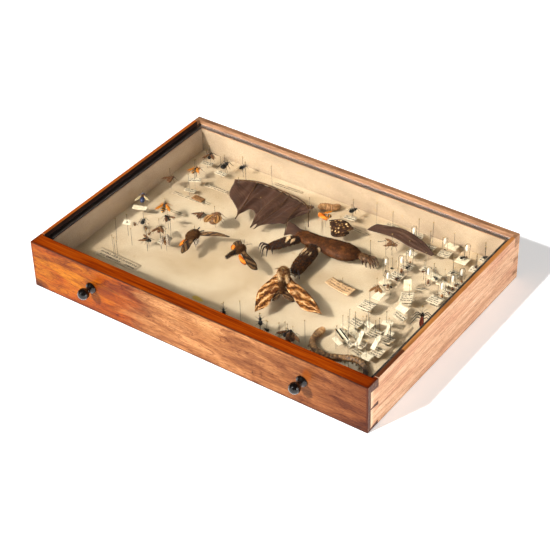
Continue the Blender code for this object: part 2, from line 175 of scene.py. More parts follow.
def frontWood():
    # French-polished mahogany: warm, half gloss, long wavy figure, dark pores; the top edge painted darker
    # and redder as shade
    look = frontLook
    m = newMaterial("polishedMahogany")
    x, y, z = put(m, "SeparateXYZ", put(m, "TexCoord")["Object"])
    outX, outY, outZ = put(m, "SeparateXYZ", put(m, "NewGeometry")["Normal"])
    tilt = (0, math.radians(11), 0)
    figure = grain(m, (85, 30, 15), 3, 0.5, 0.5, tilt)
    streak = grain(m, (34, 4, 1.7), 5, 0.62, 0.3, tilt)
    pore = grain(m, (5.5, 0.5, 0.5), 2, 0.5, 0.0, tilt)
    short = grain(m, (7, 1.2, 0.55), 3, 0.7, 0.2, tilt)        # short dark lines of open grain
    cloud = grain(m, (38, 12, 11), 3, 0.55, 0.6)               # cloudy bloom in the old polish
    nicks = grain(m, (4, 3, 3), 3, 0.7)
    rings = put(m, "Math", figure * 7.0, 0.5, operation="PINGPONG")
    body = put(m, "ValToRGB", figure, stops=((0.25, look["pinkDark"]), (0.45, look["pink"]),
                                             (0.62, look["pinkLight"]),
                                             (0.8, look["pink"])))
    warm = put(m, "ValToRGB", figure, stops=((0.3, look["orangeDark"]), (0.48, look["orange"]),
                                             (0.66, look["orangeLight"]), (0.85, look["orange"])))
    # the sapwood edge: a line that climbs to the right across the left third, warm polish above and
    # left of it
    wavy = z - 0.040 - (x + 0.125) / 3.0 + (streak - 0.5) * 0.010
    leftward = put(m, "MapRange", x + (figure - 0.5) * 0.16, -0.060, -0.105)
    warmShare = put(m, "Math", put(m, "MapRange", wavy, -0.0006, 0.0012), leftward, operation="MAXIMUM")
    sapLine = put(m, "MapRange", abs(wavy), 0.0, 0.0016, 0.75, 0.0) * put(m, "MapRange", x, -0.15, -0.12)
    face = layered(
        m, body, (warmShare, warm),
        (put(m, "MapRange", x + figure * 0.06, 0.04, 0.21, 0.0, 0.7), "#B48E6E", "MULTIPLY"),
        (sapLine, "#7A3A1C"),
        (0.62, put(m, "ValToRGB", streak, stops=((0.3, "#8A7064"), (0.5, "#DCCFC6"), (0.66, "#FFFFFF"))),
         "MULTIPLY"),
        (0.6, put(m, "ValToRGB", short, stops=((0.34, "#7C5E50"), (0.47, "#E8DED8"), (0.6, "#FFFFFF"))),
         "MULTIPLY"),
        (0.7, put(m, "ValToRGB", cloud, stops=((0.36, "#A27C66"), (0.5, "#EADDD4"), (0.62, "#FFFFFF"))),
         "MULTIPLY"),
        (put(m, "MapRange", rings, 0.0, 0.09, 1.0, 0.0) * 0.6, "#A07454", "MULTIPLY"),
        (put(m, "MapRange", pore, 0.58, 0.70, 0.0, 0.7), "#4E2412"))

    # the top edge of the front: painted darker and redder as shade for its upward face, with its own long
    # streaks
    shadedTopShare = put(m, "MapRange", outZ, 0.75, 0.95)
    topStreak = grain(m, (60, 2.6, 9), 4, 0.6, 0.2)
    top = put(m, "ValToRGB", topStreak, stops=((0.28, look["topDark"]), (0.46, look["top"]),
                                               (0.64, look["topLight"])))
    top = layered(m, top, (put(m, "MapRange", pore, 0.6, 0.72, 0.0, 0.5), "#4A1C0C"))

    # arris: polish worn dark with light nicks, and a thin line of dirt where the front face meets
    # its top edge
    arris = put(m, "MapRange", outZ, 0.12, 0.4) * put(m, "MapRange", outZ, 0.97, 0.8)
    arris = arris * put(m, "MapRange", z, 0.055, 0.0575)
    faceLine = put(m, "MapRange", outY, -0.5, -0.9) * put(m, "MapRange", z, 0.0570, 0.0583)
    topLine = shadedTopShare * put(m, "MapRange", y, frontY + 0.0013, frontY + 0.0005)
    seam = put(m, "Math", faceLine, topLine, operation="MAXIMUM") * put(m, "MapRange", nicks, 0.3, 0.5, 0.55,
                                                                        0.9)

    # darker at the lower left corner, along the lower edge, at both ends and over the right end
    corner = put(m, "MapRange", awayFrom(m, (-outerX, 0.0, 0.0), (1.0, 0.0, 1.5)) + nicks * 0.010, 0.028,
                 0.012)
    endNoise = grain(m, (1.2, 1.2, 7), 4, 0.6)
    endGrain = put(m, "ValToRGB", endNoise, stops=((0.3, "#3E231C"), (0.5, look["endGrain"]),
                                                   (0.7, "#8A6450")))
    colour = layered(
        m, face, (shadedTopShare, top),
        (arris * put(m, "MapRange", nicks, 0.36, 0.5, 0.2, 0.75), "#4A2620"),
        (arris * put(m, "MapRange", nicks, 0.66, 0.72, 0.0, 0.8), "#F2DCC4"),
        (seam, "#44200F"), (corner * 0.85, look["stain"]),
        (put(m, "MapRange", z + nicks * 0.0022, 0.0042, 0.0016) * 0.8, look["stain"]),
        (put(m, "MapRange", x, -outerX + 0.004, -outerX + 0.0012, 0.0, 0.6), "#6A3418"),
        (put(m, "MapRange", x, outerX - 0.003, outerX - 0.001, 0.0, 0.75), "#5A2A16"),
        (put(m, "MapRange", x + nicks * 0.02, outerX - 0.045, outerX + 0.005, 0.0, 0.6), "#A87C54",
         "MULTIPLY"),
        (put(m, "MapRange", abs(outX), 0.7, 0.95), endGrain))

    # small marks: a round ghost of older polish by the right knob, and old pin holes
    for spot, size, tint, strength in (
            ((0.1435, 0.0405), 0.0085, "#94480F", 0.6), ((0.077, 0.0136), 0.0010, "#2A1208", 0.9),
            ((0.088, 0.0130), 0.0008, "#2A1208", 0.8), ((-0.066, 0.0076), 0.0008, "#2A1208", 0.8),
            ((0.031, 0.0226), 0.0007, "#4A2412", 0.6)):
        away = awayFrom(m, (spot[0], 0.0, spot[1]), (1.25, 0.0, 0.85))
        share = put(m, "MapRange", away, size, size * 0.55, 0.0, strength) * put(m, "MapRange", outY, -0.5,
                                                                                 -0.9)
        colour = layered(m, colour, (share, tint))
    gloss = put(m, "MapRange", streak, 0.3, 0.7, look["roughness"] + 0.08, look["roughness"] - 0.06)
    return shade(m, (streak * 0.5 + pore * -0.5, 0.25, 0.0004), colour=colour, roughness=gloss,
                 coat=look["coat"],
                 coatRough=0.25, specular=0.12)


sideLook = {"pale": "#E2B795", "paler": "#EDC8A8", "salmon": "#D8A586", "fleck": "#8E5E42",
            "leftRim": "#C86A24",
            "rightRimDark": "#6A3A20", "rightRim": "#CE8A4A", "inner": "#341A10"}


def sideWood():
    # planed cedar left bare outside: dry, pale, straight grain with brown flecks; its top edge keeps polish
    look = sideLook
    m = newMaterial("planedCedar")
    x, y, z = put(m, "SeparateXYZ", put(m, "TexCoord")["Object"])
    outX, outY, outZ = put(m, "SeparateXYZ", put(m, "NewGeometry")["Normal"])
    tilt = (math.radians(-3), 0, 0)
    figure = grain(m, (20, 95, 11), 3, 0.5, 0.4, tilt)
    streak = grain(m, (3, 48, 1.5), 5, 0.62, 0.2, tilt)
    fleck = grain(m, (1.2, 5.0, 0.8), 2, 0.5, 0.0, tilt)
    short = grain(m, (1.5, 9.0, 0.6), 3, 0.7, 0.15, tilt)
    grime = grain(m, (6, 18, 6), 4, 0.65)
    body = put(m, "ValToRGB", figure, stops=((0.28, look["salmon"]), (0.46, look["pale"]),
                                             (0.64, look["paler"]),
                                             (0.82, look["pale"])))
    # top edge: polished on the left, stained dark at the front of the right one
    up = put(m, "MapRange", outZ, 0.5, 0.85) * put(m, "MapRange", z, 0.0575, 0.0583)
    darkRun = put(m, "MapRange", y + (grime - 0.5) * 0.006, frontY + 0.0685, frontY + 0.066)
    rightTop = put(m, "MixRGB", darkRun, look["rightRim"], look["rightRimDark"])
    rimStreak = put(m, "ValToRGB", streak, stops=((0.3, "#8A6A58"), (0.5, "#E8D8CC"), (0.66, "#FFFFFF")))
    rimTone = put(m, "MixRGB", put(m, "MapRange", x, -0.05, 0.05), look["leftRim"], rightTop)
    rimTone = layered(m, rimTone, (0.7, rimStreak, "MULTIPLY"))
    # inner face of the rim above the glass: dark with old polish and dust, and darker still as painted shade
    inner = put(m, "MapRange", x * outX * -1.0, 0.05, 0.15) * put(m, "MapRange", z, 0.0495, 0.0505)
    colour = layered(
        m, body,
        (0.7, put(m, "ValToRGB", streak, stops=((0.3, "#A8846E"), (0.48, "#E9D8C8"), (0.62, "#FFFFFF"))),
         "MULTIPLY"),
        (0.6, put(m, "ValToRGB", short, stops=((0.33, "#8E6A56"), (0.46, "#EFE2D8"), (0.58, "#FFFFFF"))),
         "MULTIPLY"),
        (put(m, "MapRange", fleck, 0.60, 0.72, 0.0, 0.6), look["fleck"]),
        (put(m, "MapRange", y, frontY + 0.0125, frontY + 0.0055, 0.0, 0.45), "#FFE0B8"),
                     # a lighter band over the dovetail tails
        (up, rimTone), (inner, look["inner"]),
        (put(m, "MapRange", z, 0.0022, 0.0008, 0.0, 0.5), "#7E5A40"))        # darker along the lower arris
    return shade(m, (streak + fleck * -0.4, 0.35, 0.0004), colour=colour,
                 roughness=put(m, "MapRange", up, 0.0, 1.0, 0.62, 0.4), specular=0.25)


def plainWood(name, pale, dark, run, roughness):
    # sawn softwood, aged: matt, brown grey in its grain
    m = newMaterial(name)
    figure = grain(m, run, 4, 0.6, 0.5)
    streak = grain(m, tuple(s * 0.22 for s in run), 4, 0.6, 0.2)
    lines = put(m, "ValToRGB", streak, stops=((0.35, "#8E7A6A"), (0.62, "#FFFFFF")))
    colour = layered(m, put(m, "MixRGB", figure, dark, pale), (0.6, lines, "MULTIPLY"))
    return shade(m, (streak, 0.4, 0.0005), colour=colour, roughness=roughness)


def liningPaper(name, *stops):
    # laid cartridge paper, yellowed: cream, matt, faint fibres, a few brown spots and water marks
    m = newMaterial(name)
    cloud = grain(m, (70, 60, 40), 3, 0.5, 0.4)
    fibre = grain(m, (2.2, 1.4, 1.6), 5, 0.7)
    spots = grain(m, 9, 2, 0.4)
    # a yellow stain near the front, left of the middle
    stain = awayFrom(m, (-0.036, frontY + 0.0585, paperTop), (0.55, 1.0, 1.0)) + (spots - 0.5) * 0.006
    colour = layered(
        m, put(m, "ValToRGB", cloud, stops=stops),
        (0.35, put(m, "ValToRGB", fibre, stops=((0.3, "#D8CDBB"), (0.6, "#FFFFFF"))), "MULTIPLY"),
        (put(m, "MapRange", spots, 0.66, 0.80, 0.0, 0.4), "#A08258"),
        (put(m, "MapRange", stain, 0.0042, 0.0026, 0.0, 0.75), "#C09A22"))
    return shade(m, (fibre, 0.25, 0.0003), colour=colour, roughness=0.85, specular=0.2)


def blackStrip():
    # black passe-partout paper tape: matt black, slightly fibrous, flecked with grey brown
    # its black is in part the tape's own colour and in part painted reflection of the dark rim in the glass
    m = newMaterial("blackTapeAndRimReflection")
    fibre = grain(m, (1.5, 9, 1.5), 4, 0.6)
    colour = put(m, "ValToRGB", fibre, stops=((0.35, "#18120C"), (0.6, "#281D14"), (0.8, "#3C2D20")))
    return shade(m, (fibre, 0.3, 0.0003), colour=colour, roughness=0.65)


def corkSheet():
    # pressed cork: brown granules with dark gaps, matt
    m = newMaterial("pressedCork")
    cells = put(m, "TexVoronoi", put(m, "TexCoord")["Object"], Scale=1 / (2.4 * mm))["Distance"]
    colour = put(m, "ValToRGB", grain(m, 3, 4, 0.6), stops=((0.25, "#7A4E2C"), (0.5, "#A67446"),
                                                            (0.75, "#C0915E")))
    gaps = put(m, "ValToRGB", cells, stops=((0.3, "#FFFFFF"), (0.8, "#6E4A30")))
    return shade(m, (cells, 0.5, 0.0006), colour=layered(m, colour, (0.5, gaps, "MULTIPLY")), roughness=0.9)


def paneGlass():
    # old sheet glass: clear, thin, very slightly uneven, faint dust in its gloss
    m = newMaterial("oldSheetGlass")
    smear = grain(m, (30, 9, 9), 4, 0.6, 0.3)
    return shade(m, (grain(m, (90, 70, 90), 1, 0.4), 0.04, 0.002), colour="#FCFDFB", clear=1.0, ior=1.46,
                 roughness=put(m, "MapRange", smear, 0.45, 0.8, 0.0, 0.03))


def knobLacquer():
    # ebonised hardwood under shellac: black, glossy, with fine turning rings and a few dusty scuffs
    m = newMaterial("ebonisedWood")
    rings = put(m, "TexWave", put(m, "TexCoord")["Object"], Scale=420.0, Distortion=1.5, Detail=1.0,
                bands_direction="Y")["Fac"]
    scuff = grain(m, 2.5, 5, 0.7)
    colour = put(m, "ValToRGB", scuff, stops=((0.4, "#080504"), (0.62, "#0E0806"), (0.8, "#20130B")))
    return shade(m, (rings, 0.06, 0.0002), colour=colour, roughness=put(m, "MapRange", scuff, 0.4, 0.75, 0.1,
                                                                        0.34),
                 coat=0.35, coatRough=0.08, specular=0.4)


boxFinishes = (
    (frontWood(), "front_board"), (sideWood(), "side_board_left side_board_right"),
    (plainWood("backCedar", "#C79468", "#8E5E3A", (90, 12, 9), 0.65), "back_board"),
    (plainWood("panelPine", "#C2A07A", "#8C6A48", (120, 14, 10), 0.75), "bottom_panel"),
    (liningPaper("yellowedPaper", (0.3, "#A78F6E"), (0.5, "#BBA586"), (0.7, "#C8B496")), "floor_paper"),
    (liningPaper("yellowedWallPaper", (0.3, "#A8917A"), (0.5, "#B69F86"), (0.7, "#C0AA90")),
     "wall_paper_left"),
    # the right, front and back walls take a darker copy of the lining paper, as painted shade
    (liningPaper("wallPaperPaintedShade", (0.3, "#8A755E"), (0.5, "#9A856C"), (0.7, "#A89379")),
     "wall_paper_right wall_paper_front wall_paper_back"),
    (blackStrip(), "glass_strip_left glass_strip_right glass_strip_front glass_strip_back"),
    (corkSheet(), "cork_sheet"), (paneGlass(), "glass_pane"), (knobLacquer(), "knob_left knob_right"),
)
for finish, nodeNames in boxFinishes:
    for nodeName in nodeNames.split():
        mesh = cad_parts[nodeName].data
        mesh.materials.clear()
        mesh.materials.append(finish)
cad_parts["glass_pane"].visible_shadow = False        # lamps shine through the clear pane

# surfaces
# specimens are laid out in millimetres: x, distance back from the front face, height above the underside

print("surfaces and specimen finishes")


def newPile():
    return {"points": [], "loops": [], "sizes": [], "slots": [], "uv": [], "tone": [], "ink": [], "count": 0}


def stack(pile, surface, slot=0, tone=0.5, ink=None):
    # Adds a surface (points, quads, triangles, uv) to a pile that becomes one mesh.
    points, quads, triangles, uv = surface
    amount = len(points)
    pile["points"].append(points)
    pile["uv"].append(uv)
    pile["tone"].append(np.broadcast_to(np.asarray(tone, float), (amount,)))
    pile["ink"].append(np.zeros(amount) if ink is None else ink)
    for faces in (quads, triangles):
        if len(faces):
            pile["loops"].append((np.asarray(faces) + pile["count"]).reshape(-1))
            pile["sizes"].append(np.full(len(faces), faces.shape[1]))
            pile["slots"].append(np.full(len(faces), slot))
    pile["count"] += amount


def finishPile(pile, name, finishes, replaced=(), shadow=True):
    points = np.vstack(pile["points"]) * mm + (0.0, frontY, 0.0)
    loops, sizes = np.concatenate(pile["loops"]), np.concatenate(pile["sizes"])
    mesh = bpy.data.meshes.new(name)
    mesh.vertices.add(len(points))
    mesh.vertices.foreach_set("co", points.astype(np.float32).ravel())
    mesh.loops.add(len(loops))
    mesh.loops.foreach_set("vertex_index", loops.astype(np.int32))
    mesh.polygons.add(len(sizes))
    mesh.polygons.foreach_set("loop_start", np.concatenate([[0], np.cumsum(sizes)[:-1]]).astype(np.int32))
    mesh.polygons.foreach_set("loop_total", sizes.astype(np.int32))
    mesh.polygons.foreach_set("material_index", np.concatenate(pile["slots"]).astype(np.int32))
    mesh.polygons.foreach_set("use_smooth", np.ones(len(sizes), bool))
    mesh.update(calc_edges=True)
    mesh.uv_layers.new(name="UVMap").data.foreach_set("uv",
                                                      np.vstack(pile["uv"])[loops].astype(np.float32).ravel())
    for label in ("tone", "ink"):
        layer = mesh.attributes.new(label, "FLOAT", "POINT")
        layer.data.foreach_set("value", np.concatenate(pile[label]).astype(np.float32))
    for finish in finishes.split():
        mesh.materials.append(finishOf[finish])
    piece = bpy.data.objects.new(name, mesh)
    bpy.context.scene.collection.objects.link(piece)
    piece.visible_shadow = shadow
    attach(piece, "root")
    if replaced:
        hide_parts(*replaced)


def smooth(points, count):
    # Catmull-Rom curve through the points, read at even steps.
    p = np.asarray(points, float)
    p = np.vstack([2 * p[0] - p[1], p, 2 * p[-1] - p[-2]])
    t = np.linspace(0, len(p) - 3, count)
    i = np.minimum(t.astype(int), len(p) - 4)
    f = (t - i)[:, None]
    a, b, c, d = p[i], p[i + 1], p[i + 2], p[i + 3]
    return 0.5 * (2 * b + (c - a) * f + (2 * a - 5 * b + 4 * c - d) * f ** 2 + (3 * b - a - 3 * c + d)
                  * f ** 3)


def unit(v):
    return v / np.maximum(np.linalg.norm(v, axis=-1, keepdims=True), 1e-9)


def gridQuads(rows, columns, wrap):
    i, j = np.arange(rows - 1)[:, None], np.arange(columns if wrap else columns - 1)[None]
    k = (j + 1) % columns
    return np.stack([i * columns + j, (i + 1) * columns + j, (i + 1) * columns + k, i * columns + k],
                    -1).reshape(-1, 4)


def tube(path, radius, sides=8, flat=1.0, up=(0, 0, 1)):
    # An ellipse of the given radius, flat times as high as wide, carried square to a path; each end
    # closes on a point.
    path = np.asarray(path, float)
    radius = np.broadcast_to(np.asarray(radius, float), (len(path),))
    run = unit(np.gradient(path, axis=0))
    side = unit(np.cross(run, np.asarray(up, float)))
    lift = np.cross(side, run)
    angle = np.linspace(0, 2 * math.pi, sides, endpoint=False)
    ring = side[:, None] * np.cos(angle)[None, :, None] + lift[:, None] * (flat * np.sin(angle))[None, :,
                                                                                                 None]
    grid = (path[:, None] + ring * radius[:, None, None]).reshape(-1, 3)
    first, last = len(grid), len(grid) + 1
    points = np.vstack([grid, path[:1], path[-1:]])
    j = np.arange(sides)
    k = (j + 1) % sides
    end = (len(path) - 1) * sides
    triangles = np.vstack([np.stack([np.full(sides, first), j, k], -1),
                           np.stack([np.full(sides, last), end + k, end + j], -1)])
    along = np.repeat(np.linspace(0, 1, len(path)), sides)
    around = np.tile(np.abs(np.linspace(-1, 1, sides, endpoint=False)), len(path))
    uv = np.vstack([np.stack([along, around], -1), [[0, 0.5], [1, 0.5]]])
    return points, gridQuads(len(path), sides, True), triangles, uv


def bean(start, end, radius, flat=0.85, sides=12, rows=10, power=2.2, bulge=0.0, up=(0, 0, 1)):
    # A tube whose radius follows a superellipse from end to end; bulge moves the widest place along it.
    t = -np.cos(np.linspace(0.02, math.pi - 0.02, rows))
    start, end = np.asarray(start, float), np.asarray(end, float)
    path = start + (end - start) * ((t + 1) / 2)[:, None]
    width = (1 - np.abs(t) ** power) ** (1 / power) * (1 + bulge * t)
    return tube(path, np.maximum(width * radius, 0.03), sides, flat, up)


def slab(top, thickness, uv=None):
    # A sheet given as rows of points, made a thin closed solid: the underside is the sheet moved
    # against its normal.
    rows, columns = top.shape[:2]
    if uv is None:
        uv = np.stack(np.meshgrid(np.linspace(0, 1, rows), np.linspace(0, 1, columns), indexing="ij"), -1)
    normal = np.cross(np.gradient(top, axis=0), np.gradient(top, axis=1))
    if normal[..., 2].sum() < 0:
        top, uv, normal = top[:, ::-1], uv[:, ::-1], -normal[:, ::-1]
    below = top - unit(normal) * thickness
    amount = rows * columns
    quads = gridQuads(rows, columns, False)
    border = np.concatenate([np.arange(columns), np.arange(1, rows) * columns + columns - 1,
                             (rows - 1) * columns + np.arange(columns - 2, -1, -1),
                             np.arange(rows - 2, 0, -1) * columns])
    after = np.roll(border, -1)
    rim = np.stack([border, after, after + amount, border + amount], -1)
    points = np.vstack([top.reshape(-1, 3), below.reshape(-1, 3)])
    uv = np.vstack([uv.reshape(-1, 2)] * 2)
    return points, np.vstack([quads, quads[:, ::-1] + amount, rim]), np.zeros((0, 3), int), uv


def wingSheet(lead, trail, height=0.0, camber=0.8, thick=0.22, rows=18, columns=9, ripple=0.0):
    # Sheet between two smooth edges, leading and trailing, raised in the middle and rippled by a sine fan.
    a, b = smooth(lead, rows), smooth(trail, rows)
    share = np.linspace(0, 1, columns)[None, :, None]
    along = np.linspace(0, 1, rows)[:, None]
    top = a[:, None] * (1 - share) + b[:, None] * share
    if top.shape[2] == 2:
        top = np.dstack([top, np.full(top.shape[:2], float(height))])
    across = share[..., 0]
    top[..., 2] += camber * np.sin(math.pi * across) * (1 - 0.6 * along) + ripple * np.sin(across
                                                                                           * 22) * along
    return slab(top, thick)


def moved(surface, at, heading=0.0, pitch=0.0, roll=0.0, size=1.0):
    # Turns a shape drawn with its head along +x: roll about x, pitch about y, heading about z, then
    # moves it.
    h, p, r = (math.radians(v) for v in (heading, pitch, roll))
    rollM = np.array([[1, 0, 0], [0, math.cos(r), -math.sin(r)], [0, math.sin(r), math.cos(r)]])
    pitchM = np.array([[math.cos(p), 0, -math.sin(p)], [0, 1, 0], [math.sin(p), 0, math.cos(p)]])
    headM = np.array([[math.cos(h), -math.sin(h), 0], [math.sin(h), math.cos(h), 0], [0, 0, 1]])
    return (surface[0] * size @ (headM @ pitchM @ rollM).T + np.asarray(at, float),) + tuple(surface[1:])


def spikes(roots, ways, lengths, width):
    # Hairs: each a three-sided closed spike in two lengths, bent a little downwards.
    ways = unit(ways)
    helper = np.where(np.abs(ways[:, 2:]) > 0.9, (1.0, 0.0, 0.0), (0.0, 0.0, 1.0))
    a = unit(np.cross(helper, ways))
    b = np.cross(ways, a)
    angle = np.arange(3) * 2 * math.pi / 3
    ring = (a[:, None] * np.cos(angle)[None, :, None] + b[:, None] * np.sin(angle)[None, :, None]) * width
    middle = roots + ways * lengths[:, None] * 0.55
    tip = roots + ways * lengths[:, None] - (0, 0, 1) * lengths[:, None] * 0.25
    block = np.concatenate([roots[:, None] + ring, middle[:, None] + ring * 0.7, tip[:, None]], 1)
    base = np.arange(len(roots))[:, None, None] * 7
    quads = (base + np.array([[0, 1, 4, 3], [1, 2, 5, 4], [2, 0, 3, 5]])).reshape(-1, 4)
    triangles = (base + np.array([[3, 4, 6], [4, 5, 6], [5, 3, 6], [2, 1, 0]])).reshape(-1, 3)
    uv = np.tile([[0, 0], [0, 1], [0, 0.5], [0.5, 0], [0.5, 1], [0.5, 0.5], [1, 0.5]], (len(roots), 1))
    return block.reshape(-1, 3), quads, triangles, uv


def furOn(pile, surface, amount, length, width, lean, slot, spread=0.5):
    # Hairs rooted on a surface's quads at random places, standing between its normal and the lean
    # direction.
    points, quads = surface[0], surface[1]
    pick = dice.integers(0, len(quads), amount)
    s, t = dice.random((2, amount, 1))
    corner = points[quads[pick]]
    near = corner[:, 0] * (1 - s) + corner[:, 1] * s
    far = corner[:, 3] * (1 - s) + corner[:, 2] * s
    roots = near * (1 - t) + far * t
    out = unit(np.cross(corner[:, 1] - corner[:, 0], corner[:, 3] - corner[:, 0]))
    ways = out * spread + np.asarray(lean, float) + dice.normal(0, 0.22, (amount, 3))
    hairs = spikes(roots - out * 0.1, ways, length * dice.uniform(0.6, 1.25, amount), width)
    stack(pile, hairs, slot, np.repeat(dice.random(amount), 7))


# specimen finishes

def creature(name, stops, size, roughness, coat=0.0, bump=0.4, toneShare=0.35, specular=0.2):
    # Mottled natural surface: a noise of the given size in mm runs through the colour stops,
    # darkened piece by piece.
    m = newMaterial(name)
    mottle = grain(m, size, 4, 0.62, 0.3)
    value = mottle + (put(m, "Attribute", attribute_name="tone")["Fac"] - 0.5) * toneShare
    fine = grain(m, size * 0.3, 4, 0.7)
    return shade(m, (fine, bump, 0.0003), colour=put(m, "ValToRGB", value, stops=stops),
                 roughness=put(m, "MapRange", fine, 0.3, 0.7, roughness * 0.8, min(1.0, roughness * 1.2)),
                 coat=coat, coatRough=0.2, specular=specular)


def patterned(name, stops, ways, warp, size=0.6, roughness=0.75, border=None):
    # Scaled wing: waves across the sheet's own uv (ways = how many along and across), bent by noise,
    # through the stops.
    m = newMaterial(name)
    lay = put(m, "Mapping", put(m, "UVMap", uv_map="UVMap"), Scale=(ways[0], ways[1], 1))
    bend = put(m, "TexNoise", lay, Scale=1.1, Detail=3.0, Roughness=0.6)
    flowX, flowY, _ = put(m, "SeparateXYZ", lay)
    phase = flowX + flowY + bend * warp
    wave = put(m, "Math", phase, 0.5, operation="PINGPONG")
    scale = grain(m, size, 3, 0.7)
    value = wave * 2.0 + (scale - 0.5) * 0.55
    colour = put(m, "ValToRGB", value, stops=stops)
    if border:
        along, across, _ = put(m, "SeparateXYZ", put(m, "UVMap", uv_map="UVMap"))
        tip = put(m, "MapRange", along, 0.8, 0.97)
        sides = put(m, "MapRange", abs(across - 0.5), 0.36, 0.48)
        edge = put(m, "Math", tip, sides, operation="MAXIMUM")
        colour = put(m, "MixRGB", edge * 0.8, colour, border)
    return shade(m, (scale, 0.4, 0.0003), colour=colour, roughness=roughness, specular=0.15)


def hawkWing():
    # hawkmoth forewing: cream and brown bands bent along the outer edge, streaks along the veins, a
    # dark middle patch
    m = newMaterial("hawkmothScales")
    along, across, _ = put(m, "SeparateXYZ", put(m, "UVMap", uv_map="UVMap"))
    bend = grain(m, 8, 3, 0.65, 0.5)
    vein = put(m, "TexNoise", put(m, "Mapping", put(m, "UVMap", uv_map="UVMap"), Scale=(3.2, 12.0, 1.0)),
               Scale=1.0, Detail=4.0, Roughness=0.65)
    phase = along * 3.4 + across * 1.9 + bend * 1.9
    bands = put(m, "Math", phase, 0.5, operation="PINGPONG") * 1.3
    value = bands + vein * 0.75 - 0.2
    colour = put(m, "ValToRGB", value, stops=[(0.14, "#241005"), (0.34, "#4E280C"), (0.48, "#7C481C"),
                                              (0.62, "#965F2C"), (0.76, "#C49660"), (0.94, "#E2C296")])
    patch = put(m, "MapRange", abs(along - 0.42), 0.16, 0.06) * put(m, "MapRange", across, 0.35, 0.6)
    colour = put(m, "MixRGB", patch * put(m, "MapRange", vein, 0.35, 0.6, 0.9, 0.3), colour, "#4A230C")
    return shade(m, (vein + bend, 0.5, 0.0004), colour=colour, roughness=0.8, specular=0.12)


def speckledWing():
    # folded butterfly: dark brown with broken rows of straw spots
    m = newMaterial("speckledScales")
    lay = put(m, "Mapping", put(m, "UVMap", uv_map="UVMap"), Scale=(5.0, 4.2, 1))
    cells = put(m, "TexVoronoi", lay, Scale=1.6, Randomness=0.8)
    dust = grain(m, 0.9, 3, 0.7)
    value = cells["Distance"] + (dust - 0.5) * 0.5
    colour = put(m, "ValToRGB", value, stops=[(0.16, "#E8CD98"), (0.27, "#B98A4A"), (0.34, "#4E3018"),
                                              (0.6, "#26150A")])
    return shade(m, (dust, 0.4, 0.0003), colour=colour, roughness=0.8, specular=0.12)


def writtenCard(name, pale, dim, ink, row, roughness=0.8):
    # rag paper or card: matt, slightly foxed; rows of pen strokes that spell nothing, where the ink
    # attribute allows
    m = newMaterial(name)
    cloud = grain(m, 7, 4, 0.6)
    colour = put(m, "MixRGB", put(m, "MapRange", cloud + (put(m, "Attribute", attribute_name="tone")["Fac"]
                                                          - 0.5) * 0.5, 0.3, 0.75), dim, pale)
    lineAt = put(m, "Math", put(m, "SeparateXYZ", put(m, "UVMap", uv_map="UVMap"))["Y"] / row, 0.5,
                 operation="PINGPONG")
    shifted = put(m, "VectorMath", put(m, "UVMap", uv_map="UVMap"),
                  put(m, "CombineXYZ", Z=put(m, "Attribute", attribute_name="tone")["Fac"] * 40.0),
                  operation="ADD")
    strokes = put(m, "TexNoise", put(m, "Mapping", shifted, Scale=(1.15, 0.75, 1.0)), Scale=1.0, Detail=3.0,
                  Roughness=0.7)
    words = put(m, "TexNoise", put(m, "Mapping", shifted, Scale=(0.28, 1 / row, 1.0)), Scale=1.0, Detail=1.0)
    mark = put(m, "MapRange", lineAt, 0.14, 0.26) * put(m, "MapRange", strokes, 0.455, 0.5)
    mark = mark * put(m, "MapRange", words, 0.38, 0.44)
    mark = mark * put(m, "MapRange", put(m, "Attribute", attribute_name="ink")["Fac"], 0.4, 0.7, 0.0, 0.95)
    return shade(m, (cloud, 0.2, 0.0003), colour=put(m, "MixRGB", mark, colour, ink), roughness=roughness,
                 specular=0.25)


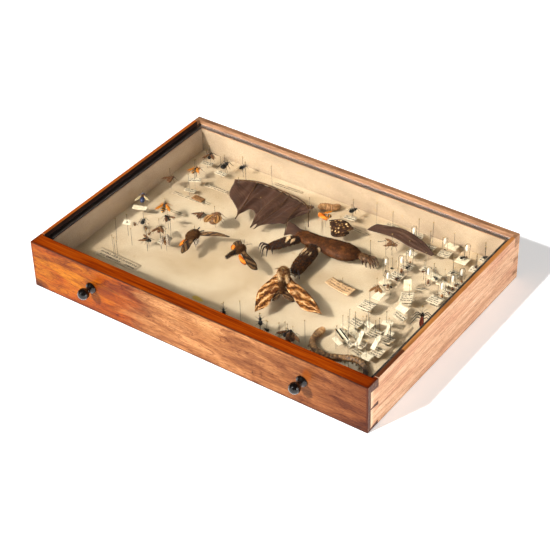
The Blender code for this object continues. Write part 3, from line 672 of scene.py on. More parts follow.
finishOf = {
    # grey brown fur and dark scale of the moths' bodies, dry and dusty
    "mothFur": creature("mothFur", [(0.25, "#22120A"), (0.5, "#4E2F16"), (0.75, "#85592E")], 1.2, 0.9,
                        specular=0.08),
    "tanFur": creature("tanFur", [(0.32, "#2E1607"), (0.44, "#683A14"), (0.56, "#9A683A"), (0.7, "#CCA470")],
                       2.6, 0.9),
    "hawkScales": hawkWing(),
    "brownScales": patterned("brownWingScales", [(0.0, "#150C06"), (0.3, "#2E1D10"), (0.62, "#4A321D"),
                                                 (0.8, "#7E5A34"), (1.0, "#3A2412")], (3.0, 1.6), 1.6, 0.8,
                             border="#170D07"),
    "orangeScales": patterned("orangeWingScales", [(0.0, "#9A3E06"), (0.4, "#C46210"), (0.8, "#DA822A")],
                              (1.2, 0.8), 0.7, 0.8, border="#3A2010"),
    "speckledScales": speckledWing(),
    "stripedScales": patterned("stripedWingScales", [(0.0, "#2C1B10"), (0.34, "#5A3A20"), (0.5, "#E8DCC0"),
                                                     (0.62, "#F2E8D2"), (0.7, "#6E4A2A"), (1.0, "#4A2E1A")],
                               (0.1, 2.1), 0.25, 0.6),
    "amberWings": patterned("amberWingVeins", [(0.0, "#1C0E06"), (0.22, "#42240F"), (0.45, "#845628"),
                                               (0.75, "#B4844C"), (1.0, "#5E3A1C")], (0.3, 2.4), 0.35, 0.8,
                            roughness=0.4),
    # beetle wing cases and fly bodies: nearly black, waxy gloss
    "chitin": creature("blackChitin", [(0.3, "#070605"), (0.6, "#17110D"), (0.8, "#3A2A1E")], 1.4, 0.3,
                       coat=0.35),
    "brownChitin": creature("brownChitin", [(0.25, "#2A170D"), (0.5, "#5E3A20"), (0.75, "#8E6238")], 1.2, 0.4,
                            coat=0.25),
    "amber": creature("amberChitin", [(0.25, "#6A3408"), (0.5, "#B86A14"), (0.8, "#E0973A")], 1.2, 0.4,
                      coat=0.2),
    "blueMetal": creature("blueBlackChitin", [(0.25, "#10131F"), (0.5, "#232B47"), (0.8, "#4A5478")], 1.3,
                          0.28, coat=0.6),
    "redChitin": creature("redBrownChitin", [(0.3, "#220A05"), (0.55, "#521C0C"), (0.8, "#8A4020")], 1.3, 0.4,
                          coat=0.2),
    "paleWing": creature("dryClearWing", [(0.25, "#6E5A40"), (0.5, "#9E8A66"), (0.8, "#C9B892")], 1.1, 0.35,
                         coat=0.3, bump=0.25),
    # bat: short brown fur, leathery brown membrane, horn claws, cream down
    "batFur": creature("batFur", [(0.2, "#150A03"), (0.48, "#361D09"), (0.75, "#6A3E18")], 3.0, 0.9,
                       toneShare=0.6, specular=0.08),
    "batHide": creature("batHide", [(0.25, "#1A0C04"), (0.5, "#3E200B"), (0.75, "#663B1A")], 6.0, 0.6,
                        specular=0.1),
    # pale wool plugs at the vial tops: bright, soft, standing in for glints on the glass as painted highlight
    "cotton": creature("glintPlugWool", [(0.2, "#AAA08C"), (0.5, "#CFC7B4"), (0.8, "#E8E2D4")], 0.9, 0.95,
                       specular=0.1),
    "creamDown": creature("creamDown", [(0.2, "#9E7444"), (0.5, "#D0AA78"), (0.8, "#E8D2AE")], 1.5, 0.85),
    "horn": creature("darkHorn", [(0.25, "#140C08"), (0.55, "#30201A"), (0.8, "#5E4432")], 1.5, 0.45,
                     coat=0.15),
    "bone": creature("dryBone", [(0.25, "#1C1007"), (0.5, "#3E2612"), (0.8, "#704C26")], 2.0, 0.6),
    # dried reptile skin: brown, wrinkled in rings, pale belly
    "grubSkin": creature("driedGrubSkin", [(0.25, "#4A2E18"), (0.5, "#7E5632"), (0.8, "#B58A58")], 1.6, 0.6),
    "paleCard": writtenCard("whiteMountCard", "#C4B498", "#A8967A", "#1A1410", 3.1),
    "plainCard": creature("plainMountCard", [(0.2, "#A08E70"), (0.5, "#BBAA8C"), (0.8, "#D0C1A6")], 3.0, 0.75,
                          toneShare=0.5, bump=0.15, specular=0.25),
    "pinkCard": writtenCard("pinkLabelPaper", "#C09C72", "#A88258", "#3A2014", 3.6),
    "floorInk": writtenCard("penOnLining", "#BBA586", "#B19B7C", "#0E0B09", 4.6),
    "pinSteel": creature("blackenedPinSteel", [(0.3, "#1A1612"), (0.6, "#3A322A"), (0.8, "#7A6A52")], 2.0,
                         0.35, coat=0.2),
    "brassHead": creature("dullPinBrass", [(0.3, "#4E3A1A"), (0.6, "#8E6E34"), (0.8, "#C8A85E")], 1.5, 0.35,
                          coat=0.3),
}


def membraneHide():
    # dried bat wing skin: purplish brown parchment with stretched creases that fan out along the fingers
    m = newMaterial("batMembrane")
    lay = put(m, "Mapping", put(m, "UVMap", uv_map="UVMap"), Scale=(1.4, 16, 1))
    crease = put(m, "TexNoise", lay, Scale=1.0, Detail=4.0, Roughness=0.65, Distortion=0.3)
    cloud = grain(m, 16, 4, 0.6)
    colour = put(m, "ValToRGB", crease * 0.6 + cloud * 0.4, stops=[(0.3, "#24150F"), (0.5, "#3F281C"),
                                                                   (0.72, "#5C4030")])
    return shade(m, (crease, 0.7, 0.0008), colour=colour, roughness=0.6, specular=0.2)


def reptileSkin():
    # little dried snake or caterpillar: rings of wrinkles across, dark back over tan sides
    m = newMaterial("driedRingedSkin")
    along = put(m, "SeparateXYZ", put(m, "UVMap", uv_map="UVMap"))["X"]
    ring = put(m, "Math", along * 34.0, 0.5, operation="PINGPONG")
    mottle = grain(m, 2.6, 4, 0.65)
    value = ring * 0.22 + mottle * 0.85
    colour = put(m, "ValToRGB", value, stops=[(0.28, "#2C190C"), (0.44, "#5E3F22"), (0.58, "#926A3E"),
                                              (0.74, "#CDA670")])
    colour = put(m, "MixRGB", put(m, "MapRange", along, 0.16, 0.05, 0.0, 0.75), colour,
                 put(m, "ValToRGB", mottle, stops=[(0.35, "#A66A34"), (0.55, "#D8A468"), (0.7, "#F2DDB8")]))
    colour = put(m, "MixRGB", put(m, "MapRange", along, 0.72, 0.95, 0.0, 0.75), colour, "#2B2420")
    return shade(m, (ring + mottle, 0.7, 0.0006), colour=colour, roughness=0.55)


def bandedSkin():
    # wasp abdomen: black rings on amber, waxy
    m = newMaterial("bandedChitin")
    along = put(m, "SeparateXYZ", put(m, "UVMap", uv_map="UVMap"))["X"]
    ring = put(m, "Math", along * 4.2, 0.5, operation="PINGPONG")
    mottle = grain(m, 1.2, 3, 0.6)
    return shade(m, (mottle, 0.3, 0.0003), colour=put(m, "ValToRGB", ring + mottle * 0.45,
                                                      stops=[(0.28, "#0C0806"), (0.5, "#2A160A"),
                                                             (0.62, "#B0701C"), (0.8, "#D8963A")]),
                 roughness=0.32, coat=0.3)


def vialGlass():
    # blown soda glass: clear, thin walled, bright highlights, faint seeds
    m = newMaterial("clearVialGlass")
    seeds = grain(m, 3, 2, 0.5)
    return shade(m, (seeds, 0.08, 0.0005), roughness=put(m, "MapRange", seeds, 0.6, 0.8, 0.0, 0.08),
                 colour="#FFFFFF", clear=1.0, ior=1.12)


finishOf.update(membrane=membraneHide(), ringedSkin=reptileSkin(), banded=bandedSkin(), vial=vialGlass())

# building blocks for specimens

def pin(pile, x, back, top=pinTop, shaft=0, head=1, lean=(0.0, 0.0)):
    # Insect pin: a thin shaft from the cork to the top, with a small round head.
    tip = (x + lean[0], back + lean[1], top)
    stack(pile, tube([(x, back, paperZ - 1.2), tip], 0.22, 6, up=(0, 1, 0)), shaft, 0.5)
    stack(pile, bean((tip[0], tip[1], top - 0.5), (tip[0], tip[1], top + 0.6), 0.75, 1.0, 8, 6, up=(0, 1, 0)),
          head, 0.6)


def insect(pile, look, at, heading, pitch=0.0, roll=0.0, size=1.0, tone=0.5):
    # Beans in a row for head, thorax and abdomen; bent tubes for legs and feelers; sheets for wings.
    def place(surface):
        return moved(surface, at, heading, pitch, roll, size)
    for start, end, radius, flat, slot in look["parts"]:
        stack(pile, place(bean((start, 0, 0), (end, 0, 0), radius, flat)), slot, tone)
    for side in (1, -1):
        for lead, trail, slot, height in look.get("wings", ()):
            sheet = wingSheet(np.array(lead) * (1, side), np.array(trail) * (1, side), height, 0.5, 0.16, 12,
                              6)
            stack(pile, place(sheet), slot, tone)
        if "legs" in look:
            legs = look["legs"]
            reach, thick = legs["reach"], legs["thick"]
            out = side * reach
            for root, sweep in zip(legs["roots"], (2.4, -0.8, -3.4)):
                path = smooth([(root, side * 0.5, -0.3), (root + sweep * 0.4, out * 0.5, reach * 0.3),
                               (root + sweep * 0.8, out * 0.85, -reach * 0.15),
                               (root + sweep * 1.3, out * 1.15, -reach * 0.5)], 8)
                stack(pile, place(tube(path, np.linspace(thick, thick * 0.45, 8), 5)), legs["slot"], tone)
        if "feeler" in look:
            feeler = look["feeler"]
            head = look["parts"][-1][1]
            path = smooth([(head - 0.6, side * 0.4, 0.2), (head + feeler * 0.4, side * feeler * 0.35, 0.8),
                           (head + feeler * 0.8, side * feeler * 0.75, 0.3)], 7)
            stack(pile, place(tube(path, np.linspace(0.2, 0.12, 7), 5)), look["legs"]["slot"], tone)


def card(pile, x, back, z, wide, deep, heading=0.0, pitch=0.0, roll=0.0, curl=0.0, slot=0, tone=0.5,
         thick=0.3, oval=0.0):
    # A flat or curled rectangle; its uv is in millimetres and its ink attribute leaves a bare margin.
    u, v = np.meshgrid(np.linspace(-0.5, 0.5, 11), np.linspace(-0.5, 0.5, 9), indexing="ij")
    narrow = np.sqrt(1 - (1.98 * u) ** 2 * oval) if oval else 1.0
    lift = curl * (2 * u) ** 2 + curl * 0.4 * v * u * 4
    top = np.dstack([u * wide, v * deep * narrow, lift])
    ink = np.where((np.abs(u) < 0.43) & (np.abs(v) < 0.40), 1.0, 0.0).ravel()
    sheet = slab(top, thick, np.dstack([u * wide, v * deep]))
    stack(pile, moved(sheet, (x, back, z), heading, pitch, roll), slot, tone, np.tile(ink, 2))


beetle = {"parts": [(-5.6, 1.2, 2.7, 0.75, 0), (0.7, 3.6, 2.1, 0.75, 0), (3.2, 5.0, 1.3, 0.8, 0)],
          "legs": {"reach": 5.2, "thick": 0.35, "slot": 0, "roots": (2.6, 0.4, -1.4)}, "feeler": 3.5}
fly = {"parts": [(-4.6, 0.6, 1.8, 0.9, 0), (0.0, 3.2, 1.9, 0.95, 0), (2.9, 4.6, 1.4, 0.95, 0)],
       "wings": [([(1.8, 0.8), (-0.5, 3.6), (-4, 5.4), (-7, 5.6)],
                  [(1.0, 0.6), (-2, 1.2), (-5, 2.8), (-6.8, 5.0)], 1, 1.2)],
       "legs": {"reach": 4.6, "thick": 0.3, "slot": 0, "roots": (2.2, 1.2, 0.2)}}
waspLook = {"parts": [(-8.0, 0.4, 2.5, 0.95, 2), (0.2, 4.6, 2.2, 0.95, 0), (4.4, 6.6, 1.7, 0.85, 0)],
            "wings": [([(3.2, 1.2), (1, 4.6), (-3.5, 7.6), (-7, 8.6)],
                       [(2.4, 1.0), (-1.5, 2.4), (-5, 5.0), (-6.8, 8.0)], 3, 1.6)],
            "legs": {"reach": 6.4, "thick": 0.42, "slot": 3, "roots": (3.6, 2.2, 0.8)}, "feeler": 4.0}

print("moths")

# hawkmoth
hawk = {"height": 34.5, "hairs": 5200, "hairLength": 2.6}
pile = newPile()
z = hawk["height"]
rightLead = [(30, 133, z + 1), (42, 124, z), (56, 119.5, z), (71, 113.5, z - 0.5), (85, 105.5, z - 1.5),
             (96, 97, z - 3)]
rightTrail = [(37, 116, z), (47, 106.5, z), (57, 101.5, z - 0.5), (67, 95, z - 1), (79, 91, z - 2),
              (95.4, 96.2, z - 3)]
stack(pile, wingSheet(rightLead, rightTrail, 0, 1.4, 0.3, 40, 18, 0.25), 0, 0.5)
leftLead = [(21, 129, z + 1), (20.5, 114, z), (20, 101, z), (21.5, 88, z - 0.5), (28, 75, z - 1.5),
            (36.5, 61.5, z - 3)]
leftTrail = [(31, 121, z), (36, 109, z), (38, 98, z - 0.5), (40, 88, z - 1), (43, 76, z - 2),
             (37.3, 62.2, z - 3)]
stack(pile, wingSheet(leftLead, leftTrail, 0, 1.4, 0.3, 40, 18, 0.25), 0, 0.6)
stack(pile, wingSheet([(38, 112, z - 1.6), (47, 108, z - 2), (56, 103, z - 2.6), (62, 98, z - 3)],
                      [(37, 107, z - 1.6), (43, 101, z - 2), (50, 97, z - 2.6), (60, 96, z - 3)], 0, 0.6, 0.3,
                      20, 9), 1, 0.4)
stack(pile, wingSheet([(35, 112, z - 1.6), (36, 101, z - 2), (38, 92, z - 2.6), (41, 86, z - 3)],
                      [(39, 110, z - 1.6), (42, 101, z - 2), (44, 94, z - 2.6), (43, 87, z - 3)], 0, 0.6, 0.3,
                      20, 9), 1, 0.4)
thorax = tube(smooth([(22, 135, z + 1), (25.5, 130, z + 1.4), (31, 121, z + 1.2), (36, 113, z)], 14),
              [1.6, 3.4, 4.6, 5.4, 5.9, 6.2, 6.2, 6.0, 5.6, 5.2, 4.8, 4.3, 3.8, 3.2], 16, 0.8)
stack(pile, thorax, 2, 0.5)
abdomen = tube(smooth([(35, 114, z), (38, 108.5, z), (41, 104, z - 0.5), (43.5, 100.5, z - 1)], 16),
               np.linspace(4.4, 1.0, 16) + 0.35 * np.sin(np.linspace(0, 40, 16)), 14, 0.85)
stack(pile, abdomen, 3, 0.35)
furOn(pile, thorax, hawk["hairs"], hawk["hairLength"], 0.13, (0.45, -0.75, 0.35), 2, 0.6)
furOn(pile, abdomen, 1800, 1.6, 0.12, (0.5, -0.8, 0.1), 3, 0.4)
# cream shoulder flaps and a collar lie over the root of each wing
for start, end, radius in (((27.5, 127.5), (41, 115.5), 2.5), ((23.5, 124.0), (34, 113.0), 2.4),
                           ((22.5, 131), (29, 128.5), 1.7)):
    flap = bean((start[0], start[1], z + 3.4), (end[0], end[1], z + 2.6), radius, 0.75, 14, 10)
    stack(pile, flap, 6, 0.3)
    furOn(pile, flap, 420, 2.2, 0.15, (0.45, -0.75, 0.3), 6, 0.5)
for side, tip in ((1, (33, 140)), (-1, (15, 128))):
    stack(pile, tube(smooth([(25, 134, z + 1.5), ((25 + tip[0]) / 2 + side, (134 + tip[1]) / 2 + 1, z + 2),
                             (tip[0], tip[1], z + 1)], 9), np.linspace(0.5, 0.3, 9), 6), 3, 0.4)
for foot in ((18, 138), (16, 133), (36, 133), (33, 137)):
    stack(pile, tube(smooth([(25, 130, z), (foot[0], foot[1], z - 2), (foot[0] + 1, foot[1] + 2, z - 6)], 7),
                     0.4, 5), 3, 0.3)
pin(pile, 31, 121, 47.5, 4, 5)
finishPile(pile, "hawkMoth", "hawkScales brownScales tanFur mothFur pinSteel brassHead creamDown",
           ["hawk_moth"])

# two orange underwings
underwing = {"height": 36.0, "hairs": 2200}
pile = newPile()
z = underwing["height"]
stack(pile, wingSheet([(-37, 141, z), (-33, 143, z), (-27, 135.5, z - 0.4), (-18, 131.5, z - 0.8),
                       (-8, 126.5, z - 1.2), (-0.5, 118.8, z - 2)],
                      [(-34, 133, z), (-29, 129, z), (-22, 124, z - 0.4), (-14, 118.5, z - 0.8),
                       (-6, 115.4, z - 1.2), (-1, 117.8, z - 2)], 0, 0.8, 0.3, 26, 12), 0, 0.45)
stack(pile, wingSheet([(-37, 139, z), (-40, 145, z), (-44.5, 148.6, z), (-48.6, 146, z), (-49.2, 141, z)],
                      [(-38, 135, z), (-41, 137, z), (-44, 138.5, z), (-47, 139.5, z), (-48.8, 140, z)], 0,
                      0.8, 0.3, 20, 10), 0, 0.45)
stack(pile, wingSheet([(-32, 130, z - 0.8), (-26, 127, z - 1), (-20, 124, z - 1.3), (-15.5, 119.5, z - 1.6)],
                      [(-31.5, 126, z - 0.8), (-28, 122.5, z - 1), (-22, 118.5, z - 1.3),
                       (-16.5, 117.5, z - 1.6)], 0, 0.5, 0.3, 20, 10), 1, 0.6)
stack(pile, wingSheet([(-40, 137, z - 0.8), (-44, 139.5, z - 1), (-49.3, 140.5, z - 1.2)],
                      [(-41, 132.4, z - 0.8), (-45, 131.6, z - 1), (-49, 136.5, z - 1.2)], 0, 0.5, 0.3, 16,
                      9), 1, 0.6)
thorax = bean((-35.5, 143, z + 0.6), (-36.5, 129, z + 0.4), 5.0, 0.8, 14, 12)
tail = tube(smooth([(-37, 131, z), (-39.5, 124, z - 0.3), (-40.5, 116.5, z - 0.8)], 12),
            np.linspace(3.4, 1.8, 12) + 0.3 * np.sin(np.linspace(0, 30, 12)), 12, 0.85)
stack(pile, thorax, 2, 0.35)
stack(pile, tail, 3, 0.25)
furOn(pile, thorax, underwing["hairs"], 1.9, 0.12, (-0.1, -0.8, 0.4), 2, 0.6)
furOn(pile, tail, 700, 1.5, 0.12, (-0.1, -0.9, 0.1), 2, 0.5)
for tip in ((-30, 150), (-42, 152)):
    stack(pile, tube(smooth([(-35.5, 142, z + 1), ((tip[0] - 35.5) / 2, (tip[1] + 142) / 2, z + 2),
                             (tip[0], tip[1], z + 1)], 8), 0.28, 5), 3, 0.2)
pin(pile, -36, 137, pinTop, 4, 5)
finishPile(pile, "orangeMothMiddle", "brownScales orangeScales mothFur chitin pinSteel brassHead",
           ["orange_moth_middle"])

pile = newPile()
stack(pile, wingSheet([(-92, 131, z), (-88, 127, z), (-86.5, 116, z), (-83.5, 106, z - 0.5),
                       (-84.5, 96.5, z - 1)],
                      [(-95, 126, z), (-94.5, 117, z), (-93, 108, z), (-89.5, 100, z - 0.5),
                       (-86, 96.2, z - 1)], 0, 1.0, 0.3, 26, 10), 0, 0.4)
stack(pile, wingSheet([(-98.5, 131, z), (-101.5, 128, z), (-98.5, 120, z), (-96, 112, z - 0.5)],
                      [(-96, 129, z), (-97, 124, z), (-96, 117, z), (-94.6, 111.5, z - 0.5)], 0, 0.6, 0.3, 18,
                      8), 0, 0.4)
stack(pile, wingSheet([(-98, 120, z - 1), (-99.4, 116, z - 1), (-98.6, 110, z - 1.2),
                       (-96.4, 105.6, z - 1.5)],
                      [(-95.6, 119, z - 1), (-95.2, 114, z - 1), (-94.8, 109, z - 1.2),
                       (-95.4, 105.8, z - 1.5)], 0, 0.5, 0.3, 16, 8), 1, 0.7)
stack(pile, wingSheet([(-90, 128, z - 0.5), (-85, 127, z - 0.8), (-81.5, 123, z - 1),
                       (-80.8, 116.5, z - 1.2)],
                      [(-89.5, 122, z - 0.5), (-86.5, 119, z - 0.8), (-84, 116.5, z - 1),
                       (-81.6, 115.6, z - 1.2)], 0, 0.5, 0.3, 16, 8), 6, 0.8)
thorax = bean((-93.2, 136.5, z + 0.8), (-95, 120, z + 0.4), 6.6, 0.7, 16, 12)
stack(pile, thorax, 2, 0.55)
furOn(pile, thorax, 2600, 2.2, 0.13, (0.0, -0.8, 0.4), 2, 0.6)
stack(pile, wingSheet([(-91, 134, z + 1.5), (-83, 139.5, z + 3), (-72, 144.5, z + 3.2), (-58.5, 148, z + 1)],
                      [(-90, 131, z), (-81, 136, z - 0.5), (-70, 141.5, z + 0.4), (-59, 146.6, z + 0.4)], 0,
                      0.6, 0.3, 30, 10, 0.2), 0, 0.5)
for path in ([(-94, 135, z + 1), (-95.5, 139, z + 1.6), (-96.2, 142.5, z + 1.2)],
             [(-92, 135.5, z + 1), (-90.5, 137.5, z + 1.6), (-88.5, 140.5, z + 1.2)]):
    stack(pile, tube(smooth(path, 9), np.linspace(0.5, 0.8, 9), 7), 3, 0.15)
pin(pile, -93, 130, pinTop, 4, 5)
finishPile(pile, "orangeMothLeft", "brownScales orangeScales mothFur chitin pinSteel brassHead stripedScales",
           ["orange_moth_left"])

# striped moth, wings folded along its back
pile = newPile()
stack(pile, wingSheet([(-119, 115.5, 35), (-113, 111, 35.6), (-108, 105, 35.2), (-105.5, 101, 34.5)],
                      [(-121, 113, 35), (-116.5, 107, 35.6), (-111.5, 101.5, 35.2), (-107.5, 99.5, 34.5)], 0,
                      0.9, 0.3, 20, 12), 0, 0.5)
stack(pile, wingSheet([(-122.5, 111.5, 34.4), (-118.5, 106.5, 34.8), (-115.5, 102, 34.4), (-113, 98.5, 34)],
                      [(-124, 109.5, 34.2), (-121, 104, 34.4), (-118, 100, 34), (-115.5, 97.3, 33.6)], 0, 0.6,
                      0.3, 20, 10), 0, 0.8)
stripedMothLook = {"parts": [(-8, 3, 1.8, 0.9, 1), (2, 6, 1.9, 0.9, 1)],
                   "legs": {"reach": 5, "thick": 0.3, "slot": 2, "roots": (3.4, 2, 1)}, "feeler": 4}
insect(pile, stripedMothLook, (-115.5, 106, 34), 130)
pin(pile, -116, 107.5, pinTop, 2, 3)
finishPile(pile, "stripedMoth", "stripedScales mothFur pinSteel brassHead", ["striped_moth"])

print("bat")

# bat: skin of one wing, body, limbs and foot
batLook = {"height": 33.0, "bodyZ": 30.5, "bodyHairs": 9000, "limbHairs": 3600}
pile = newPile()
z = batLook["height"]
skinEdge = [(-121, 240), (-112.5, 219.5), (-100, 209), (-88, 200.5), (-81.5, 192), (-77.6, 183.5),
            (-78.8, 194), (-75.4, 206.4), (-66, 205.4),
            (-58.9, 191.3), (-53.9, 179.4), (-51.9, 188.4), (-48.9, 179), (-46.2, 191), (-40, 195.5),
            (-33.8, 202.1), (-26.5, 204.8),
            (-25.6, 212), (-22.5, 224.8), (-14.7, 238.8)]
skinRear = [(-121, 242), (-116, 246), (-110, 249), (-104, 251), (-98, 252), (-92, 252), (-86, 252),
            (-80, 252), (-74, 252), (-68, 252), (-62, 251.5),
            (-56, 251), (-50, 250), (-44, 249), (-38, 248), (-33, 247), (-29, 246), (-25, 245), (-20, 243),
            (-14, 240)]
rows, columns = 150, 22
a, b = smooth(skinRear, rows), smooth(skinEdge, rows)
share = np.linspace(0, 1, columns)[None, :, None]
skin = a[:, None] * (1 - share) + b[:, None] * share
along = np.linspace(0, 1, rows)[:, None]
# height: pleats that fan from the wrist, deepest halfway, drooping to the free edge
across = share[..., 0]
pleat = 1.6 * np.sin(along * 26.0) * np.sin(math.pi * across) - 2.6 * across ** 2
pleat += 0.5 * np.sin(along * 71 + 6 * across)
skin = np.dstack([skin, z + 1.5 + pleat])
stack(pile, slab(skin, 0.35), 0, 0.5)
secondLead = [(-25, 212, z), (-15, 209.5, z + 0.4), (-5, 206.5, z), (4, 209, z - 1)]
secondTrail = [(-15.2, 189, z - 2.4), (-9.4, 193.5, z - 1.6), (-1, 191.5, z - 1), (6, 191, z - 1)]
stack(pile, wingSheet(secondLead, secondTrail, 0, 0.8, 0.35, 24, 12, 0.35), 0, 0.6)
farLead = [(60, 262, z - 1), (90, 268, z), (118, 262, z - 1), (140, 250, z - 3)]
farTrail = [(56, 246, z - 1), (86, 250, z - 1), (112, 246, z - 2), (138, 247, z - 4)]
stack(pile, wingSheet(farLead, farTrail, 0, 1.2, 0.35, 40, 16, 0.5), 0, 0.4)
for path, thick in (([(-96, 251, z + 2.2), (-87, 222, z + 2), (-81, 198, z + 0.6), (-77.6, 182.8, z - 0.6)],
                     0.75),
                    ([(-60, 251, z + 2.2), (-60, 228, z + 2.4), (-60.5, 208, z + 1), (-53.9, 178.6, z - 0.6)],
                     0.9),
                    ([(-50, 250, z + 2), (-47.5, 225, z + 1.6), (-48.8, 200, z + 0.6),
                      (-48.9, 178.2, z - 0.6)], 0.7),
                    ([(-31, 246, z + 1.6), (-29, 228, z + 1.4), (-26, 212, z + 0.8), (-14.8, 188.2, z - 1.8)],
                     0.8),
                    ([(-121, 242, z + 1), (-95, 252, z + 2.4), (-60, 252, z + 2.6), (-25, 246, z + 1.6),
                      (0, 214, z)], 1.3)):
    stack(pile, tube(smooth(path, 26), np.linspace(thick, thick * 0.45, 26), 8), 1, 0.6)
pin(pile, -64, 214, pinTop, 2, 3)
pin(pile, -108, 232, pinTop, 2, 3)
finishPile(pile, "batWing", "membrane bone pinSteel brassHead", ["bat_wing_near", "bat_wing_far"])

pile = newPile()
z = batLook["bodyZ"]
body = tube(smooth([(-7, 199, z), (2, 199.5, z), (14, 198.5, z), (27, 200, z), (42, 199.5, z), (56, 200.5, z),
                    (67, 203, z), (76, 207, z - 1)], 30),
            np.interp(np.linspace(0, 1, 30), [0, 0.03, 0.12, 0.27, 0.40, 0.56, 0.72, 0.85, 0.94, 1],
                      [1.5, 4.8, 8.0, 10.2, 9.6, 13.2, 14.0, 10.5, 5.0, 2.0]), 22, 0.52)
stack(pile, body, 0, 0.5)
furOn(pile, body, batLook["bodyHairs"], 2.0, 0.14, (1.0, 0.1, 0.0), 1, 0.28)
armLeft = tube(smooth([(3, 192, z + 0.5), (-4, 184, z + 0.5), (-10, 174, z), (-16, 167, z - 1),
                       (-20, 163, z - 1.5)], 18),
               np.interp(np.linspace(0, 1, 18), [0, 0.3, 0.6, 0.85, 1], [5.5, 6.6, 6.2, 3.4, 1.2]), 14, 0.55)
armRight = tube(smooth([(25, 188, z + 1), (27.5, 176, z + 1), (29, 163, z + 0.5), (30, 152, z - 0.5),
                        (34, 143, z - 2)], 20),
                np.interp(np.linspace(0, 1, 20), [0, 0.3, 0.6, 0.85, 1], [7.5, 8.6, 8.2, 7.0, 3.0]), 14, 0.5)
for arm in (armLeft, armRight):
    stack(pile, arm, 2, 0.25)
furOn(pile, armLeft, batLook["limbHairs"] // 2, 2.6, 0.17, (-0.5, -0.8, 0.1), 1, 0.4)
furOn(pile, armRight, batLook["limbHairs"], 3.0, 0.2, (0.1, -1.0, 0.1), 1, 0.4)
# cream down shows through in narrow tufts on both limbs
for start, end, wide in (((-6.5, 188), (-4, 176.5), 3.0), ((0.5, 187), (1.5, 178), 2.2),
                         ((21.5, 181), (22.5, 167), 1.8), ((25.0, 180), (27.0, 165.5), 1.5),
                         ((28.6, 179.5), (31.5, 167), 1.3), ((31.5, 187.5), (37, 181.5), 1.2)):
    lock = tube(smooth([(start[0], start[1], z + 3.6), ((start[0] + end[0]) / 2 + 0.6, (start[1] + end[1])
                                                        / 2, z + 4.8), (end[0], end[1], z + 4.0)], 10),
                np.interp(np.linspace(0, 1, 10), [0, 0.4, 1], [0.5, wide * 0.8, 0.25]), 8, 0.45)
    stack(pile, lock, 3, 0.7)
    furOn(pile, lock, 160, 1.8, 0.14, (0.1, -1.0, 0.15), 3, 0.4)
claws = [((-18, 166), (-24, 161), (-21.5, 152)), ((-18, 165), (-20, 157), (-16.5, 148)),
         ((-16, 165), (-15.5, 158), (-12, 150)),
         ((-20, 166), (-27, 163), (-28, 157)), ((-15, 168), (-11, 160), (-9, 158)),
         ((33, 146), (37, 141), (41, 137.5)), ((30, 146), (32, 140), (36, 137)),
         ((27, 148), (27.5, 142), (30, 139)),
         ((76, 207), (88, 206), (98, 200)), ((76, 206), (86, 203), (93, 196)),
         ((76, 205), (82, 201), (88, 195)), ((75, 205), (79, 200), (82, 197)),
         ((77, 208), (89, 209), (99, 205)), ((77, 206), (87, 204), (96, 198))]
for index, (start, bend, end) in enumerate(claws):
    height = z - 0.5 if index < 8 else z - 1.5
    path = smooth([(start[0], start[1], height), (bend[0], bend[1], height + 1.6),
                   (end[0], end[1], height - 3.5)], 12)
    girth = 1.0 if index < 8 else 1.75
    stack(pile, tube(path, girth * np.interp(np.linspace(0, 1, 12), [0, 0.35, 0.6, 1], [1.1, 0.75, 1.0, 0.2]),
                     8), 4 if index < 8 else 5, 0.35 + 0.05 * (index % 5))
footPad = bean((70, 205, z - 0.8), (89, 203.5, z - 0.6), 5.4, 0.7, 12, 12)
stack(pile, footPad, 5, 0.7)
furOn(pile, footPad, 500, 2.2, 0.16, (0.8, -0.4, 0.1), 5, 0.4)
pin(pile, 2.7, 205, pinTop, 6, 7)
pin(pile, 81.8, 213, pinTop, 6, 7)
finishPile(pile, "batBody", "batHide batFur horn creamDown horn bone pinSteel brassHead",
           ["bat_body", "bat_foot", "bat_forearm_left", "bat_forearm_right"])

print("snakeling and grub")

# dried snakeling on a paper oval
snake = {"head": 4.4, "middle": 3.5, "tail": 2.8}
pile = newPile()
low = paperZ
route = smooth([(108, 85, low + 7), (107, 80, low + 6.4), (105.5, 72, low + 5), (107.5, 63, low + 4.4),
                (112, 57.5, low + 4.2), (120, 53.5, low + 4.2), (131, 52, low + 4.2), (142, 55.5, low + 4.4),
                (153, 61.5, low + 4.4), (163, 63.5, low + 4.2), (172, 60, low + 4), (178.5, 53, low + 3.8),
                (183, 45, low + 3.4)], 220)
share = np.linspace(0, 1, 220)
width = np.interp(share, [0, 0.03, 0.09, 0.16, 0.24, 0.5, 0.75, 0.93, 1],
                  [1.0, 3.0, snake["head"], 3.6, 3.2, snake["middle"], 3.7, snake["tail"], 0.9])
width *= 1 + 0.03 * np.sin(share * 2 * math.pi * 34) + 0.06 * np.sin(share * 57)
stack(pile, tube(route, width, 22, 0.9), 0, 0.5)
for index, start in enumerate(np.linspace(60, 200, 8).astype(int)):
    for side in (1, -1):
        p = route[start]
        stack(pile, tube(smooth([(p[0] + side * 2, p[1] - 3.2, p[2] - 1.5),
                                 (p[0] + side * 2.4, p[1] - 4.4, p[2] - 3.4)], 4), 0.7, 6), 0, 0.4)
card(pile, 156, 58, low + 0.5, 30, 15, 8, slot=1, tone=0.9, thick=0.3, oval=0.98)
finishPile(pile, "driedSnakeling", "ringedSkin plainCard", ["dried_snakeling"])

pile = newPile()
route = smooth([(-20, 262, low + 5), (-14, 266, low + 5.4), (-8, 268, low + 5.4), (-3, 272, low + 5),
                (0, 279, low + 4.6)], 80)
share = np.linspace(0, 1, 80)
stack(pile, tube(route, np.interp(share, [0, 0.08, 0.5, 0.9, 1], [1.0, 4.0, 4.8, 3.6, 0.8])
                 * (1 + 0.08 * np.sin(share * 75)), 16, 0.9), 0, 0.6)
finishPile(pile, "rearGrub", "grubSkin", ["rear_grub"])

